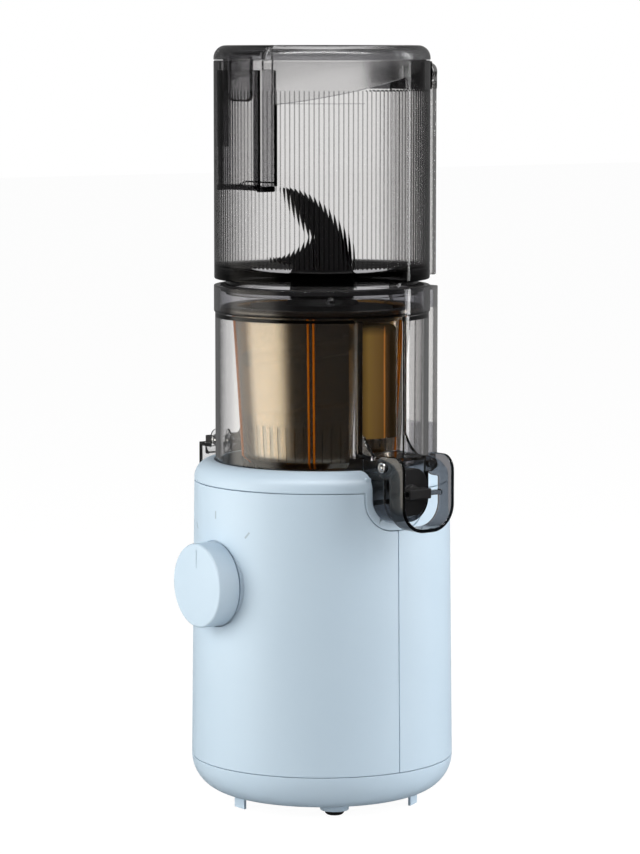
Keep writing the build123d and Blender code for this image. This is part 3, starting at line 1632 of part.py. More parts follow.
notch_range = (-flap_half - seam, flap_half + seam)
flap_notch = block(notch_range, (-base_radius, -flap_cut_y), (skirt_bottom, lid_top + wall))
with BuildPart() as lid:
    add(lid_form.part)
    # The skirt hangs inside the hopper, deepest at the front.
    with BuildPart(mode=Mode.PRIVATE) as skirt:
        skirt_height = lid_ceiling + lid_wall / 2 - skirt_bottom
        add(ring(skirt_radius - skirt_wall, skirt_radius, skirt_bottom, skirt_height))
        with BuildSketch(Plane.YZ):
            with BuildLine():
                Polyline(
                    (-skirt_radius, skirt_bottom),
                    (skirt_radius, lid_bottom - skirt_back_drop),
                    (skirt_radius, skirt_bottom),
                    close=True,
                )
            make_face()
        extrude(amount=base_radius, both=True, mode=Mode.SUBTRACT)
    add(skirt.part)
    add(flap_notch, mode=Mode.SUBTRACT)
    # An arm at the back ends in the middle knuckle of the hinge.
    with BuildSketch(Plane.YZ.offset(-knuckle_half)):
        with BuildLine():
            Polyline(
                (hopper_radius - arm_root, lid_bottom),
                (hopper_radius - arm_root, lid_top - arm_drop),
                (hinge_y, lid_top - arm_drop),
                (hinge_y + knuckle_radius, hinge_z),
                (hinge_y - knuckle_radius, hinge_z),
                (hinge_y - knuckle_radius, lid_bottom),
                close=True,
            )
        make_face()
        with Locations((hinge_y, hinge_z)):
            Circle(knuckle_radius)
    extrude(amount=2 * knuckle_half)
    with BuildSketch(Plane.YZ.offset(-knuckle_half)):
        with Locations((hinge_y, hinge_z)):
            Circle(hinge_pin_radius + run_gap)
    extrude(amount=2 * knuckle_half, mode=Mode.SUBTRACT)
    # Holes for the ends of the flap's pin.
    with BuildSketch(Plane.YZ.offset(-flap_half - seam - flap_pin_end)):
        with Locations((-flap_hinge_y, flap_hinge_z)):
            Circle(flap_barrel)
    extrude(amount=flap_pin_end)
    with BuildSketch(Plane.YZ.offset(flap_half + seam)):
        with Locations((-flap_hinge_y, flap_hinge_z)):
            Circle(flap_barrel)
    extrude(amount=flap_pin_end)
    with BuildSketch(Plane.YZ):
        with Locations((-flap_hinge_y, flap_hinge_z)):
            Circle(flap_pin_radius)
    extrude(amount=flap_half + seam + flap_pin_end, both=True, mode=Mode.SUBTRACT)

with BuildPart() as hinge_pin:
    with BuildSketch(Plane.YZ.offset(-column_half)):
        with Locations((hinge_y, hinge_z)):
            Circle(hinge_pin_radius)
    extrude(amount=2 * column_half)

with BuildPart() as feed_flap:
    add(lid_form.part)
    add(
        block((-flap_half, flap_half), (-base_radius, -flap_hinge_y), (skirt_bottom, lid_top + wall)),
        mode=Mode.INTERSECT,
    )
    with BuildSketch(Plane.YZ.offset(-flap_half)):
        with Locations((-flap_hinge_y, flap_hinge_z)):
            Circle(flap_barrel)
    extrude(amount=2 * flap_half)
    with BuildSketch(Plane.YZ.offset(-flap_half)):
        with Locations((-flap_hinge_y, flap_hinge_z)):
            Circle(flap_pin_radius + run_gap)
    extrude(amount=2 * flap_half, mode=Mode.SUBTRACT)

with BuildPart() as flap_pin:
    pin_half = flap_half + seam + flap_pin_end
    with BuildSketch(Plane.YZ.offset(-pin_half)):
        with Locations((-flap_hinge_y, flap_hinge_z)):
            Circle(flap_pin_radius)
    extrude(amount=2 * pin_half)

for piece, name in (
    (lid, "lid"),
    (hinge_pin, "hinge_pin"),
    (feed_flap, "feed_flap"),
    (flap_pin, "flap_pin"),
):
    save(piece.part, name)
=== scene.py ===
import json
from math import atan, cos, pi, radians, sin

import bmesh
import bpy
import numpy as np
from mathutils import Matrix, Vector


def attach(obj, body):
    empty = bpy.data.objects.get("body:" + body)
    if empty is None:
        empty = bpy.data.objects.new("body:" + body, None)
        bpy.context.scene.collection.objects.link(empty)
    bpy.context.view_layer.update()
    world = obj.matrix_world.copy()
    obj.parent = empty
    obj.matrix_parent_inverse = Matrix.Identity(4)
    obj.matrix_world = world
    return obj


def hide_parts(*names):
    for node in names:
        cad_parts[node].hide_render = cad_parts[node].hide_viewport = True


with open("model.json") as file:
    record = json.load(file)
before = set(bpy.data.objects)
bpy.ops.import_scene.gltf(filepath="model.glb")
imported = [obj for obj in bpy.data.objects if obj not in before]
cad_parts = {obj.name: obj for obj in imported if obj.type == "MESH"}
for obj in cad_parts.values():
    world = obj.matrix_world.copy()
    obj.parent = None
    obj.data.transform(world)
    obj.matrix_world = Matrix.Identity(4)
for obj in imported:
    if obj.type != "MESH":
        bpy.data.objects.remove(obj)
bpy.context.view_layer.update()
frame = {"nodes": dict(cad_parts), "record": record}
mm = 0.001
body_of = {n: b for b, ns in frame["record"]["behaviour"]["bodies"].items() for n in ns}
slot_of = {row["node"]: row["material_slot"] for row in frame["record"]["subparts"]}


# ---- sizes and places on the juicer: millimetres, and degrees for the angles about its axis ------

hopper_r, hopper_in, hopper_foot, hopper_head = 57.4, 55.0, 280.9, 396.1
neck_r, neck_in, neck_foot, mouth_r = 51.4, 49.0, 272.9, 45.4
flutes, flute_depth, flute_foot, flute_head = 136, 0.18, 288.4, 381.0
column_half, column_near, column_far, column_corner, column_wall = 13.0, 55.2, 67.9, 3.0, 2.0
hinge_y, hinge_z, knuckle_r, knuckle_x = 62.5, 390.1, 4.6, 7.0
plate_foot, plate_head, plate_first, plate_last = 380.8, 395.6, 62, 118
fill_level, fill_first, fill_last = 374.0, -57, -13
chute_half, chute_back, chute_front, chute_wall = 20.0, -42.9, -53.4, 1.8
chute_foot, chute_head, chute_lip, rim_height, rim_width = 328.3, 391.1, 395.9, 2.8, 2.6
post_in, post_out, sleeve_foot = 14.6, 18.2, 351.0
sill_low, sill_high, sill_bend, sill_end = 329.6, 333.4, -6.0, 19.0
lid_head, tongue_y, tongue_half, tongue_head, tongue_foot = 404.0, -51.4, 10.2, 398.0, 374.8
collar_r, collar_foot, collar_head, stud_level, stud_angle = 57.4, 263.2, 279.0, 272.2, -31
spout_reach, spout_head, columns_from = 57.8, 200.5, 57.9
panel_half, panel_foot, panel_head, panel_r, panel_thick = 13.6, 199.5, 259.5, 51.7, 0.75
strainer_foot, strainer_floor, strainer_flange, strainer_head = 179.1, 181.1, 264.0, 266.6
strainer_foot_r, strainer_floor_r, strainer_belly_r, strainer_top_r = 35.9, 36.2, 42.6, 47.4
strainer_wall, strainer_hole, flange_r = 2.0, 14.6, 54.0
slots, slot_share, slot_foot, slot_head, port_head, port_half = 56, 0.075, 186.5, 205.0, 193.1, 15
rib_pairs, rib_turns = 5, (-44.4, -40.9)
auger_foot, auger_head, flight_pitch, flight_start = 181.9, 265.8, 34.0, 181.4
pivot_x, pivot_z, lever_half = 77.4, 188.0, 16.6
dial_level, housing_r, housing_foot, housing_height, housing_taper = 122.5, 70.2, 25.0, 148.2, 1.8
mark_half, mark_near, mark_far, mark_proud, mark_thick = 0.45, 34.5, 38.5, 0.06, 0.3


# ---- node tools ----------------------------------------------------------------------------------

def fill(tree, sockets, values):
    """Give each socket its value: a fixed one, or another node's output, which is linked to it."""
    for socket, value in zip(sockets, values):
        if isinstance(value, bpy.types.NodeSocket):
            tree.links.new(value, socket)
        else:
            socket.default_value = value


def put(tree, kind, **values):
    """Add one shader node; values name its sockets, or else its settings."""
    node = tree.nodes.new("ShaderNode" + kind)
    for name, value in values.items():
        socket = node.inputs.get(name.replace("_", " "))
        if socket is None:
            setattr(node, name, value)
        else:
            fill(tree, [socket], [value])
    return node


def shade(tree, how, *values, kind="Math"):
    """One sum of up to three values, each a fixed one or a node's output; returns its own output."""
    node = put(tree, kind, operation=how)
    fill(tree, node.inputs, values)
    return node.outputs[0]


def split(tree, vector):
    """The outputs X, Y and Z of a vector."""
    return put(tree, "SeparateXYZ", Vector=vector).outputs


def object_spot(tree):
    """The outputs X, Y and Z of the place on the object."""
    return split(tree, put(tree, "TexCoord").outputs["Object"])


def reach_of(tree, spot):
    """The distance from the juicer's axis: the root of x * x + y * y."""
    squares = shade(tree, "MULTIPLY_ADD", spot["X"], spot["X"], shade(tree, "MULTIPLY", spot["Y"], spot["Y"]))
    return shade(tree, "SQRT", squares)


def between(tree, z, low, high):
    """1 where z lies between two levels, with a soft step at each."""
    step = 0.0006
    over = shade(tree, "MULTIPLY_ADD", shade(tree, "SUBTRACT", z, low), 1 / step, 0.5)
    under = shade(tree, "MULTIPLY_ADD", shade(tree, "SUBTRACT", high, z), 1 / step, 0.5)
    return put(tree, "Clamp", Value=shade(tree, "MINIMUM", over, under)).outputs[0]


def group(name, inputs, outputs):
    """An empty shader group with named numbers in, and named masks, values or normals out."""
    tree = bpy.data.node_groups.new(name, "ShaderNodeTree")
    for label, first in inputs:
        number = tree.interface.new_socket(label, in_out="INPUT", socket_type="NodeSocketFloat")
        number.default_value = first
    for label, kind in outputs:
        tree.interface.new_socket(label, in_out="OUTPUT", socket_type="NodeSocket" + kind)
    return tree, tree.nodes.new("NodeGroupInput"), tree.nodes.new("NodeGroupOutput")


def grain_group():
    """Grain of the mould: a fine bump, with a roughness that drifts where hands have been."""
    tree, given, made = group(
        "mould_grain",
        [("Grains", 4000.0), ("Depth", 0.1), ("Roughness", 0.4), ("Spread", 0.08)],
        [("Normal", "Vector"), ("Roughness", "Float")],
    )
    spot = put(tree, "TexCoord").outputs["Object"]
    grain = put(tree, "TexNoise", Vector=spot, Scale=given.outputs["Grains"], Detail=3.0, Roughness=0.6)
    bump = put(tree, "Bump", Strength=given.outputs["Depth"], Distance=0.0002, Height=grain.outputs["Fac"])
    touch = put(tree, "TexNoise", Vector=spot, Scale=18.0, Detail=5.0, Roughness=0.62)
    centred = shade(tree, "SUBTRACT", touch.outputs["Fac"], 0.5)
    rough = shade(tree, "MULTIPLY_ADD", centred, given.outputs["Spread"], given.outputs["Roughness"])
    tree.links.new(bump.outputs["Normal"], made.inputs["Normal"])
    tree.links.new(rough, made.inputs["Roughness"])
    return tree


def drift_group():
    """Drift of a resin's colour over a few centimetres, drawn out along the height if wanted."""
    tree, given, made = group("colour_drift", [("Clouds", 30.0), ("Height share", 1.0)], [("Mask", "Float")])
    spot = put(tree, "TexCoord").outputs["Object"]
    draw = put(tree, "CombineXYZ", X=1.0, Y=1.0, Z=given.outputs["Height share"])
    pulled = shade(tree, "MULTIPLY", spot, draw.outputs[0], kind="VectorMath")
    clouds = put(tree, "TexNoise", Vector=pulled, Scale=given.outputs["Clouds"], Detail=4.0, Roughness=0.55)
    tree.links.new(clouds.outputs["Fac"], made.inputs["Mask"])
    return tree


def dust_group():
    """Fine dust on faces that look up: specks, 3 * noise - 1.6, times the upward share of the normal."""
    tree, given, made = group("dust", [("Amount", 0.3), ("Specks", 900.0)], [("Mask", "Float")])
    spot = put(tree, "TexCoord").outputs["Object"]
    specks = put(tree, "TexNoise", Vector=spot, Scale=given.outputs["Specks"], Detail=2.0, Roughness=0.7)
    upward = shade(tree, "MAXIMUM", split(tree, put(tree, "NewGeometry").outputs["Normal"])["Z"], 0.0)
    sparse = shade(tree, "MAXIMUM", shade(tree, "MULTIPLY_ADD", specks.outputs["Fac"], 3.0, -1.6), 0.0)
    amount = shade(tree, "MULTIPLY", shade(tree, "MULTIPLY", sparse, upward), given.outputs["Amount"])
    tree.links.new(amount, made.inputs["Mask"])
    return tree


def band_group():
    """A mask for painted shade where walls are thicker or doubled: a level band round the juicer's
    axis, and all that stands further out than a given reach below a given level."""
    tree, given, made = group(
        "level_shade_band",
        [("Lowest", 0.0), ("Highest", 1.0), ("Beyond", 1.0), ("Below", 1.0)],
        [("Mask", "Float")],
    )
    spot = object_spot(tree)
    mask = between(tree, spot["Z"], given.outputs["Lowest"], given.outputs["Highest"])
    far = shade(tree, "GREATER_THAN", reach_of(tree, spot), given.outputs["Beyond"])
    low = shade(tree, "LESS_THAN", spot["Z"], given.outputs["Below"])
    tree.links.new(shade(tree, "MAXIMUM", mask, shade(tree, "MULTIPLY", far, low)), made.inputs["Mask"])
    return tree


def flute_group():
    """Painted shade on a fluted ring: lines between its flutes, on its inner face, standing in for the
    dark lines that the flutes bend into the light: the twelfth power of a cosine of the flutes' count
    times half the angle about the axis, from the lowest to the highest level and within a given
    radius. The mask is painted shade over the ring's foot."""
    tree, given, made = group(
        "painted_flute_lines",
        [("Count", 100.0), ("Lowest", 0.0), ("Highest", 1.0), ("Sole", 0.0), ("Foot", 0.0), ("Within", 1.0)],
        [("Mask", "Float"), ("Lines", "Float")],
    )
    spot = object_spot(tree)
    angle = shade(tree, "ARCTAN2", spot["Y"], spot["X"])
    turns = shade(tree, "MULTIPLY", shade(tree, "MULTIPLY", angle, given.outputs["Count"]), 0.5)
    wave = shade(tree, "POWER", shade(tree, "ABSOLUTE", shade(tree, "COSINE", turns)), 12.0)
    fluted = between(tree, spot["Z"], given.outputs["Lowest"], given.outputs["Highest"])
    foot = between(tree, spot["Z"], given.outputs["Sole"], given.outputs["Foot"])
    inner = shade(tree, "LESS_THAN", reach_of(tree, spot), given.outputs["Within"])
    lines = shade(tree, "MULTIPLY", shade(tree, "MULTIPLY", wave, fluted), inner)
    tree.links.new(foot, made.inputs["Mask"])
    tree.links.new(lines, made.inputs["Lines"])
    return tree


GRAIN, DRIFT, DUST, BAND, FLUTES = grain_group(), drift_group(), dust_group(), band_group(), flute_group()


def place(tree, made, **values):
    """Put a finished group into a material, with its own values."""
    node = tree.nodes.new("ShaderNodeGroup")
    node.node_tree = made
    for name, value in values.items():
        node.inputs[name.replace("_", " ")].default_value = value
    return node


def colour_mix(tree, share, first, second):
    """Two colours mixed by a share; each is a fixed colour or a node's output."""
    mix = put(tree, "Mix", data_type="RGBA")
    colours = [(*colour, 1) if isinstance(colour, tuple) else colour for colour in (first, second)]
    fill(tree, (mix.inputs[0], mix.inputs[6], mix.inputs[7]), (share, *colours))
    return mix.outputs[2]


def shader_mix(tree, share, first, second):
    """The shaders of two nodes mixed by a share."""
    mix = put(tree, "MixShader")
    fill(tree, mix.inputs, (share, first.outputs[0], second.outputs[0]))
    return mix.outputs[0]


def grain_on(tree, shader, **values):
    """Give a shader the mould's grain: its normal and its drifting roughness."""
    grain = place(tree, GRAIN, **values)
    for label in ("Normal", "Roughness"):
        tree.links.new(grain.outputs[label], shader.inputs[label])


def start(name, **values):
    """A new material with nothing but its output and one Principled shader with its fixed values."""
    material = bpy.data.materials.new(name)
    material.use_nodes = True
    tree = material.node_tree
    tree.nodes.clear()
    return material, tree, tree.nodes.new("ShaderNodeOutputMaterial"), put(tree, "BsdfPrincipled", **values)


def srgb(r, g, b):
    """Linear colour of an 8-bit screen colour: ((c + 0.055) / 1.055) ** 2.4, straight below 0.04045."""
    c = np.array([r, g, b]) / 255
    return tuple(float(x) for x in np.where(c < 0.04045, c / 12.92, ((c + 0.055) / 1.055) ** 2.4))


# ---- finishes ------------------------------------------------------------------------------------

dust_grey = (0.55, 0.54, 0.52)
grey_stain = (0.26, 0.25, 0.26)
unbent_share = 0.2


def solid_finish(name, light, dark, roughness, grains=4000.0, depth=0.1, height_share=1.0, dust=0.1,
                 **fixed):
    """A closed surface: two near colours that drift, over the mould's grain, with a little dust."""
    material, tree, out, shader = start(name, **fixed)
    grain_on(tree, shader, Grains=grains, Depth=depth, Roughness=roughness, Spread=0.1)
    drift = place(tree, DRIFT, Height_share=height_share)
    colour = colour_mix(tree, drift.outputs["Mask"], light, dark)
    specks = place(tree, DUST, Amount=dust)
    dusty = colour_mix(tree, specks.outputs["Mask"], colour, dust_grey)
    tree.links.new(dusty, shader.inputs["Base Color"])
    tree.links.new(shader.outputs[0], out.inputs["Surface"])
    return material


def clear_finish(name, tint, edge, density, stain=grey_stain, roughness=0.03, spread=0.03,
                 slants=(0.08, 0.85), darker=None, behind=None, thin=0.0, **fixed):
    """A see-through resin: it bends light, takes it up along its way, has painted shade where it is seen
    at a slant, standing in for the dark room mirrored there, and lets the lamps through. A mask, with a
    colour, may paint more shade on a part of it. A share of the light passes a thin-walled part
    unbent: a given one all over, or a fifth beyond a given y."""
    material, tree, out, shader = start(name, **{"Transmission_Weight": 1.0, "IOR": 1.5, **fixed})
    # Painted shade: where the face is seen at a slant, its colour turns from the tint to the edge colour.
    facing = put(tree, "LayerWeight", Blend=0.5).outputs["Facing"]
    slant = put(tree, "MapRange", Value=facing, From_Min=slants[0], From_Max=slants[1])
    colour = colour_mix(tree, slant.outputs[0], tint, edge)
    # Painted shade from a mask, in the given colour; the mask's lines only on faces seen from behind.
    if darker:
        made, values, shadow = darker
        marks = place(tree, made, **values)
        mask = marks.outputs["Mask"]
        if "Lines" in marks.outputs:
            leaving = put(tree, "NewGeometry").outputs["Backfacing"]
            mask = shade(tree, "MAXIMUM", mask, shade(tree, "MULTIPLY", marks.outputs["Lines"], leaving))
        colour = colour_mix(tree, mask, colour, shadow)
    tree.links.new(colour, shader.inputs["Base Color"])
    grain_on(tree, shader, Grains=60.0, Depth=0.05, Roughness=roughness, Spread=spread)
    straight = put(tree, "LightPath").outputs["Is Shadow Ray"]
    if behind:
        beyond = shade(tree, "GREATER_THAN", object_spot(tree)["Y"], behind)
        thin = shade(tree, "MULTIPLY", beyond, unbent_share)
    if thin:
        straight = shade(tree, "MAXIMUM", straight, thin)
    lamps = put(tree, "BsdfTransparent", Color=(*tint, 1))
    tree.links.new(shader_mix(tree, straight, shader, lamps), out.inputs["Surface"])
    inside = put(tree, "VolumeAbsorption", Color=(*stain, 1), Density=density)
    tree.links.new(inside.outputs[0], out.inputs["Volume"])
    return material


pale_blue = solid_finish("pale_blue_satin", srgb(192, 212, 229), srgb(187, 208, 226), 0.40, 5200.0, 0.14)
mark_grey = solid_finish("mark_grey", srgb(166, 184, 198), srgb(158, 176, 190), 0.45)
# Painted shade on the hopper's wall: dark lines between the flutes, and a dark band over its foot.
flute_shade_values = {
    "Count": float(flutes), "Lowest": (flute_foot + 0.1) * mm, "Highest": (flute_head - 0.5) * mm,
    "Sole": (hopper_foot - 1.4) * mm, "Foot": (hopper_foot + 5.9) * mm, "Within": (hopper_r - 1.2) * mm,
}
# Each resin's second colour is its painted shade where it is seen at a slant.
smoke = clear_finish("smoke_resin", (0.98, 0.975, 0.97), (0.06, 0.06, 0.065), 84,
                     slants=(0.16, 0.95), darker=(FLUTES, flute_shade_values, (0.07, 0.07, 0.07)), IOR=1.17)
smoke_plain = clear_finish("smoke_plain_resin", (0.94, 0.935, 0.93), (0.25, 0.25, 0.26), 70,
                           slants=(0.5, 0.95), behind=columns_from * mm, IOR=1.35)
smoke_trim = clear_finish("smoke_trim_resin", (0.70, 0.70, 0.71), (0.22, 0.22, 0.23), 160,
                          thin=0.13, IOR=1.12)
smoke_rim = clear_finish("smoke_rim_resin", (0.42, 0.42, 0.43), (0.12, 0.12, 0.125), 700,
                         thin=0.07, IOR=1.2)
smoke_plate = clear_finish("smoke_plate_resin", (0.30, 0.30, 0.31), (0.08, 0.08, 0.085), 700,
                           IOR=1.2)
# Painted shade over the lid's top, above the hopper's head.
lid_shade_band = {"Lowest": hopper_head * mm, "Highest": (lid_head + 6.0) * mm}
smoke_lid = clear_finish("smoke_lid_resin", (0.95, 0.95, 0.95), (0.20, 0.20, 0.21), 70,
                         roughness=0.20, spread=0.08, darker=(BAND, lid_shade_band, (0.80, 0.80, 0.81)))
smoke_flap = clear_finish("smoke_flap_resin", (0.66, 0.66, 0.67), (0.20, 0.20, 0.21), 170,
                          roughness=0.12, spread=0.06)
# Painted shade over the chamber's collar, where the hopper's neck and the strainer's flange lie inside it,
# and over the spouts.
collar_shade_band = {"Lowest": collar_foot * mm, "Highest": collar_head * mm, "Beyond": spout_reach * mm,
               "Below": spout_head * mm}
smoke_light = clear_finish("light_smoke_resin", (0.99, 0.985, 0.98), (0.35, 0.35, 0.36), 62,
                           slants=(0.6, 0.95), behind=columns_from * mm, IOR=1.38,
                           darker=(BAND, collar_shade_band, (0.62, 0.62, 0.64)))
smoke_lever = clear_finish("lever_smoke_resin", (0.70, 0.70, 0.72), (0.08, 0.08, 0.09), 480,
                           thin=0.04)
clear = clear_finish("clear_resin", (1.0, 1.0, 1.0), (0.5, 0.5, 0.5), 20, stain=(0.9, 0.9, 0.9))
amber = clear_finish("amber_resin", (0.92, 0.78, 0.50), (0.78, 0.56, 0.22), 600,
                     stain=(0.868, 0.788, 0.66), roughness=0.12, spread=0.06, Metallic=0.15,
                     Coat_Weight=1.0, Coat_IOR=2.2, Coat_Roughness=0.20)
# The ribs' solid bright orange is painted light: it stands in for light shining through the amber.
amber_rib_painted_glow = solid_finish("amber_rib_painted_glow", srgb(196, 108, 0), srgb(160, 84, 0), 0.40, dust=0.0,
                         Specular_IOR_Level=0.1)
auger_resin = solid_finish("auger_resin", srgb(15, 14, 12), srgb(10, 10, 9), 0.42)
black_resin = solid_finish("black_resin", srgb(26, 26, 28), srgb(20, 20, 22), 0.34)
silicone = solid_finish("black_silicone", srgb(20, 20, 22), srgb(28, 28, 30), 0.55, 2500.0, 0.2)
gear_resin = solid_finish("gear_resin", srgb(232, 228, 214), srgb(224, 219, 203), 0.35)
steel = solid_finish("steel", srgb(200, 202, 205), srgb(180, 182, 186), 0.20, height_share=0.05, Metallic=1.0)
bronze = solid_finish("bronze", srgb(190, 140, 90), srgb(170, 120, 75), 0.35, Metallic=1.0)
board = solid_finish("board", srgb(26, 92, 58), srgb(20, 80, 50), 0.35)


def panel_finish():
    """Amber resin over the dark pulp duct, with light and shade painted in: a ramp of ambers over the
    angle about the axis, with a painted bright line and painted shade towards its sides, painted shade
    towards the rounded top, and streaks along the flow."""
    material, tree, out, shader = start("amber_panel_painted_light", Coat_Weight=0.3)
    spot = object_spot(tree)
    angle = shade(tree, "ARCTAN2", spot["Y"], spot["X"])
    streaks = place(tree, DRIFT, Clouds=700.0, Height_share=0.01)
    bent = shade(tree, "MULTIPLY_ADD", streaks.outputs["Mask"], radians(2.0), angle)
    share = put(tree, "MapRange", Value=bent, From_Min=radians(-panel_half),
                From_Max=radians(panel_half + 1.4))
    ramp = put(tree, "ValToRGB", Fac=share.outputs[0])
    # The stops paint light and shade: dark towards both sides, and a bright line at 0.64.
    light_and_shade_stops = ((0.0, (30, 20, 6)), (0.05, (70, 52, 16)), (0.25, (108, 82, 28)), (0.52, (88, 62, 12)),
             (0.62, (80, 54, 8)), (0.64, (168, 100, 10)), (0.66, (66, 42, 8)), (0.80, (24, 16, 4)),
             (1.0, (44, 30, 8)))
    while len(ramp.color_ramp.elements) < len(light_and_shade_stops):
        ramp.color_ramp.elements.new(0.5)
    for stop, (at, colour) in zip(ramp.color_ramp.elements, light_and_shade_stops):
        stop.position, stop.color = at, (*srgb(*colour), 1)
    # Painted shade towards the rounded top.
    top = put(tree, "MapRange", Value=spot["Z"], From_Min=(panel_head - 6.0) * mm,
              From_Max=(panel_head - 0.5) * mm)
    colour_with_painted_shade = colour_mix(tree, top.outputs[0], ramp.outputs["Color"], srgb(26, 20, 8))
    tree.links.new(colour_with_painted_shade, shader.inputs["Base Color"])
    grain_on(tree, shader, Grains=900.0, Depth=0.1, Roughness=0.25, Spread=0.1)
    tree.links.new(shader.outputs[0], out.inputs["Surface"])
    return material


amber_panel_painted_light = panel_finish()

finish_of_slot = {
    "housing": pale_blue, "smoke": smoke, "clear": clear, "amber": amber, "auger_resin": auger_resin,
    "black_resin": black_resin, "silicone": silicone, "gear_resin": gear_resin, "steel": steel,
    "bronze": bronze, "board": board,
}
finish_of = {node: finish_of_slot[slot] for node, slot in slot_of.items()}
finish_of.update(cutter_wing=black_resin, juicing_chamber=smoke_light, lid=smoke_lid, feed_flap=smoke_flap,
                 pulp_lever=smoke_lever)
for node, piece in frame["nodes"].items():
    piece.data.materials.clear()
    piece.data.materials.append(finish_of[node])


# ---- mesh tools ----------------------------------------------------------------------------------

def in_scene(name, data):
    """A new object of the scene that shows the given mesh, lamp or camera."""
    made = bpy.data.objects.new(name, data)
    bpy.context.scene.collection.objects.link(made)
    return made


def add_piece(name, mesh, finish, *nodes, body=None, slot=None):
    """Show a mesh as a piece of the juicer that rides with its body and stands for some CAD nodes."""
    piece = in_scene(name, mesh)
    mesh.materials.clear()
    mesh.materials.append(finish)
    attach(piece, body or body_of[nodes[0]])
    if nodes:
        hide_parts(*nodes)
    return piece


def softened(node, edge, segments):
    """A copy of a CAD node with its facets joined, and its sharp edges rounded by a bevel."""
    sharp_from = radians(30)
    mesh = frame["nodes"][node].data.copy()
    work = bmesh.new()
    work.from_mesh(mesh)
    bmesh.ops.remove_doubles(work, verts=work.verts, dist=2e-6)
    bmesh.ops.dissolve_limit(work, angle_limit=radians(0.6), verts=work.verts, edges=work.edges)
    work.to_mesh(mesh)
    work.free()
    if "custom_normal" in mesh.attributes:
        mesh.attributes.remove(mesh.attributes["custom_normal"])
    mesh.polygons.foreach_set("use_smooth", np.ones(len(mesh.polygons), dtype=bool))
    mesh.set_sharp_from_angle(angle=sharp_from)
    bevel = add_piece(node + "_form", mesh, finish_of[node], node).modifiers.new("rounded_edges", "BEVEL")
    bevel.width = edge * mm
    bevel.segments = segments
    bevel.limit_method = "ANGLE"
    bevel.angle_limit = sharp_from
    bevel.use_clamp_overlap = False
    bevel.harden_normals = True
    bevel.miter_outer = "MITER_ARC"


def mesh_of(name, points, faces, sharp):
    """A smooth mesh from whole arrays of points, in millimetres, and of faces of four corners each."""
    mesh = bpy.data.meshes.new(name)
    mesh.vertices.add(len(points))
    mesh.vertices.foreach_set("co", (points * mm).astype(np.float32).ravel())
    mesh.loops.add(faces.size)
    mesh.loops.foreach_set("vertex_index", faces.astype(np.int32).ravel())
    mesh.polygons.add(len(faces))
    mesh.polygons.foreach_set("loop_start", np.arange(0, faces.size, 4, dtype=np.int32))
    mesh.update(calc_edges=True)
    work = bmesh.new()
    work.from_mesh(mesh)
    bmesh.ops.remove_doubles(work, verts=work.verts, dist=1e-6)
    bmesh.ops.dissolve_degenerate(work, dist=1e-7, edges=work.edges)
    bmesh.ops.recalc_face_normals(work, faces=work.faces)
    work.to_mesh(mesh)
    work.free()
    mesh.polygons.foreach_set("use_smooth", np.ones(len(mesh.polygons), dtype=bool))
    mesh.set_sharp_from_angle(angle=radians(sharp))
    return mesh


def add_shape(name, shape, finish, *nodes, sharp=35, **where):
    """Show a shape of (points, faces) as a piece; edges sharper than the given degrees stay sharp."""
    return add_piece(name, mesh_of(name, *shape, sharp), finish, *nodes, **where)


def as_shape(points, closed=False):
    """A grid of points, row after row of closed rings, as a shape: the points in one line, and the
    corners of the faces between them; the last ring may be joined to the first."""
    number = np.arange(points[..., 0].size).reshape(points.shape[:2])
    here = number if closed else number[:-1]
    following = np.roll(number, -1, axis=0) if closed else number[1:]
    corners = (here, following, np.roll(following, -1, axis=1), np.roll(here, -1, axis=1))
    return points.reshape(-1, 3), np.stack(corners, axis=-1).reshape(-1, 4)


def capped(points):
    """A bar of sections as a shape, both of its ends closed at their middles."""
    caps = np.repeat(points[[0, -1]].mean(axis=1, keepdims=True), points.shape[1], axis=1)
    return as_shape(np.concatenate([caps[:1], points, caps[1:]]))


def joined(*shapes):
    """Several shapes as one, with the faces' numbers moved along."""
    shift = np.cumsum([0] + [len(p) for p, _ in shapes])
    return np.concatenate([p for p, _ in shapes]), np.concatenate([f + s for (_, f), s in zip(shapes, shift)])


def rounded_outline(corners, radii, steps):
    """A closed outline with its corners rounded: at each corner p, with unit ways a and b to its
    neighbours and half angle h between them, an arc of radius r about p + (a + b) / |a + b| * r / sin(h)."""
    p = np.array(corners, float)
    r = np.broadcast_to(np.array(radii, float), len(p))
    made = []
    for here, before, after, radius in zip(p, np.roll(p, 1, axis=0), np.roll(p, -1, axis=0), r):
        if radius <= 0:
            made.append(here[None])
            continue
        a = (before - here) / np.linalg.norm(before - here)
        b = (after - here) / np.linalg.norm(after - here)
        half = np.arccos(np.clip(a @ b, -1, 1)) / 2
        middle = here + (a + b) / np.linalg.norm(a + b) * radius / np.sin(half)
        first = here + a * radius / np.tan(half) - middle
        last = here + b * radius / np.tan(half) - middle
        share = np.linspace(0, 1, steps + 1)[:, None]
        turn = pi - 2 * half
        arc = (np.sin((1 - share) * turn) * first + np.sin(share * turn) * last) / np.sin(turn)
        made.append(middle + arc)
    return np.concatenate(made)


def round_angles(steps):
    """Even angles all the way round."""
    return np.linspace(0, 2 * pi, steps, endpoint=False)


def turned(outline, angles):
    """Points of a body turned about the juicer's axis: (r cos t, r sin t, z)."""
    r, z = outline[:, :1], outline[:, 1:]
    x = r * np.cos(angles)
    return np.stack([x, r * np.sin(angles), np.broadcast_to(z, x.shape)], axis=-1)


def turned_about(line, way, profile, steps):
    """A profile of (lift, r) turned about a level line: line + lift * way + r * (side cos t + up sin t)."""
    way = np.array(way, float)
    side, up = np.array([-way[1], way[0], 0]), np.array([0, 0, 1])
    t = round_angles(steps)[None, :, None]
    lift, r = profile[:, None, :1], profile[:, None, 1:]
    return as_shape(np.array(line) + lift * way + r * (np.cos(t) * side + np.sin(t) * up))


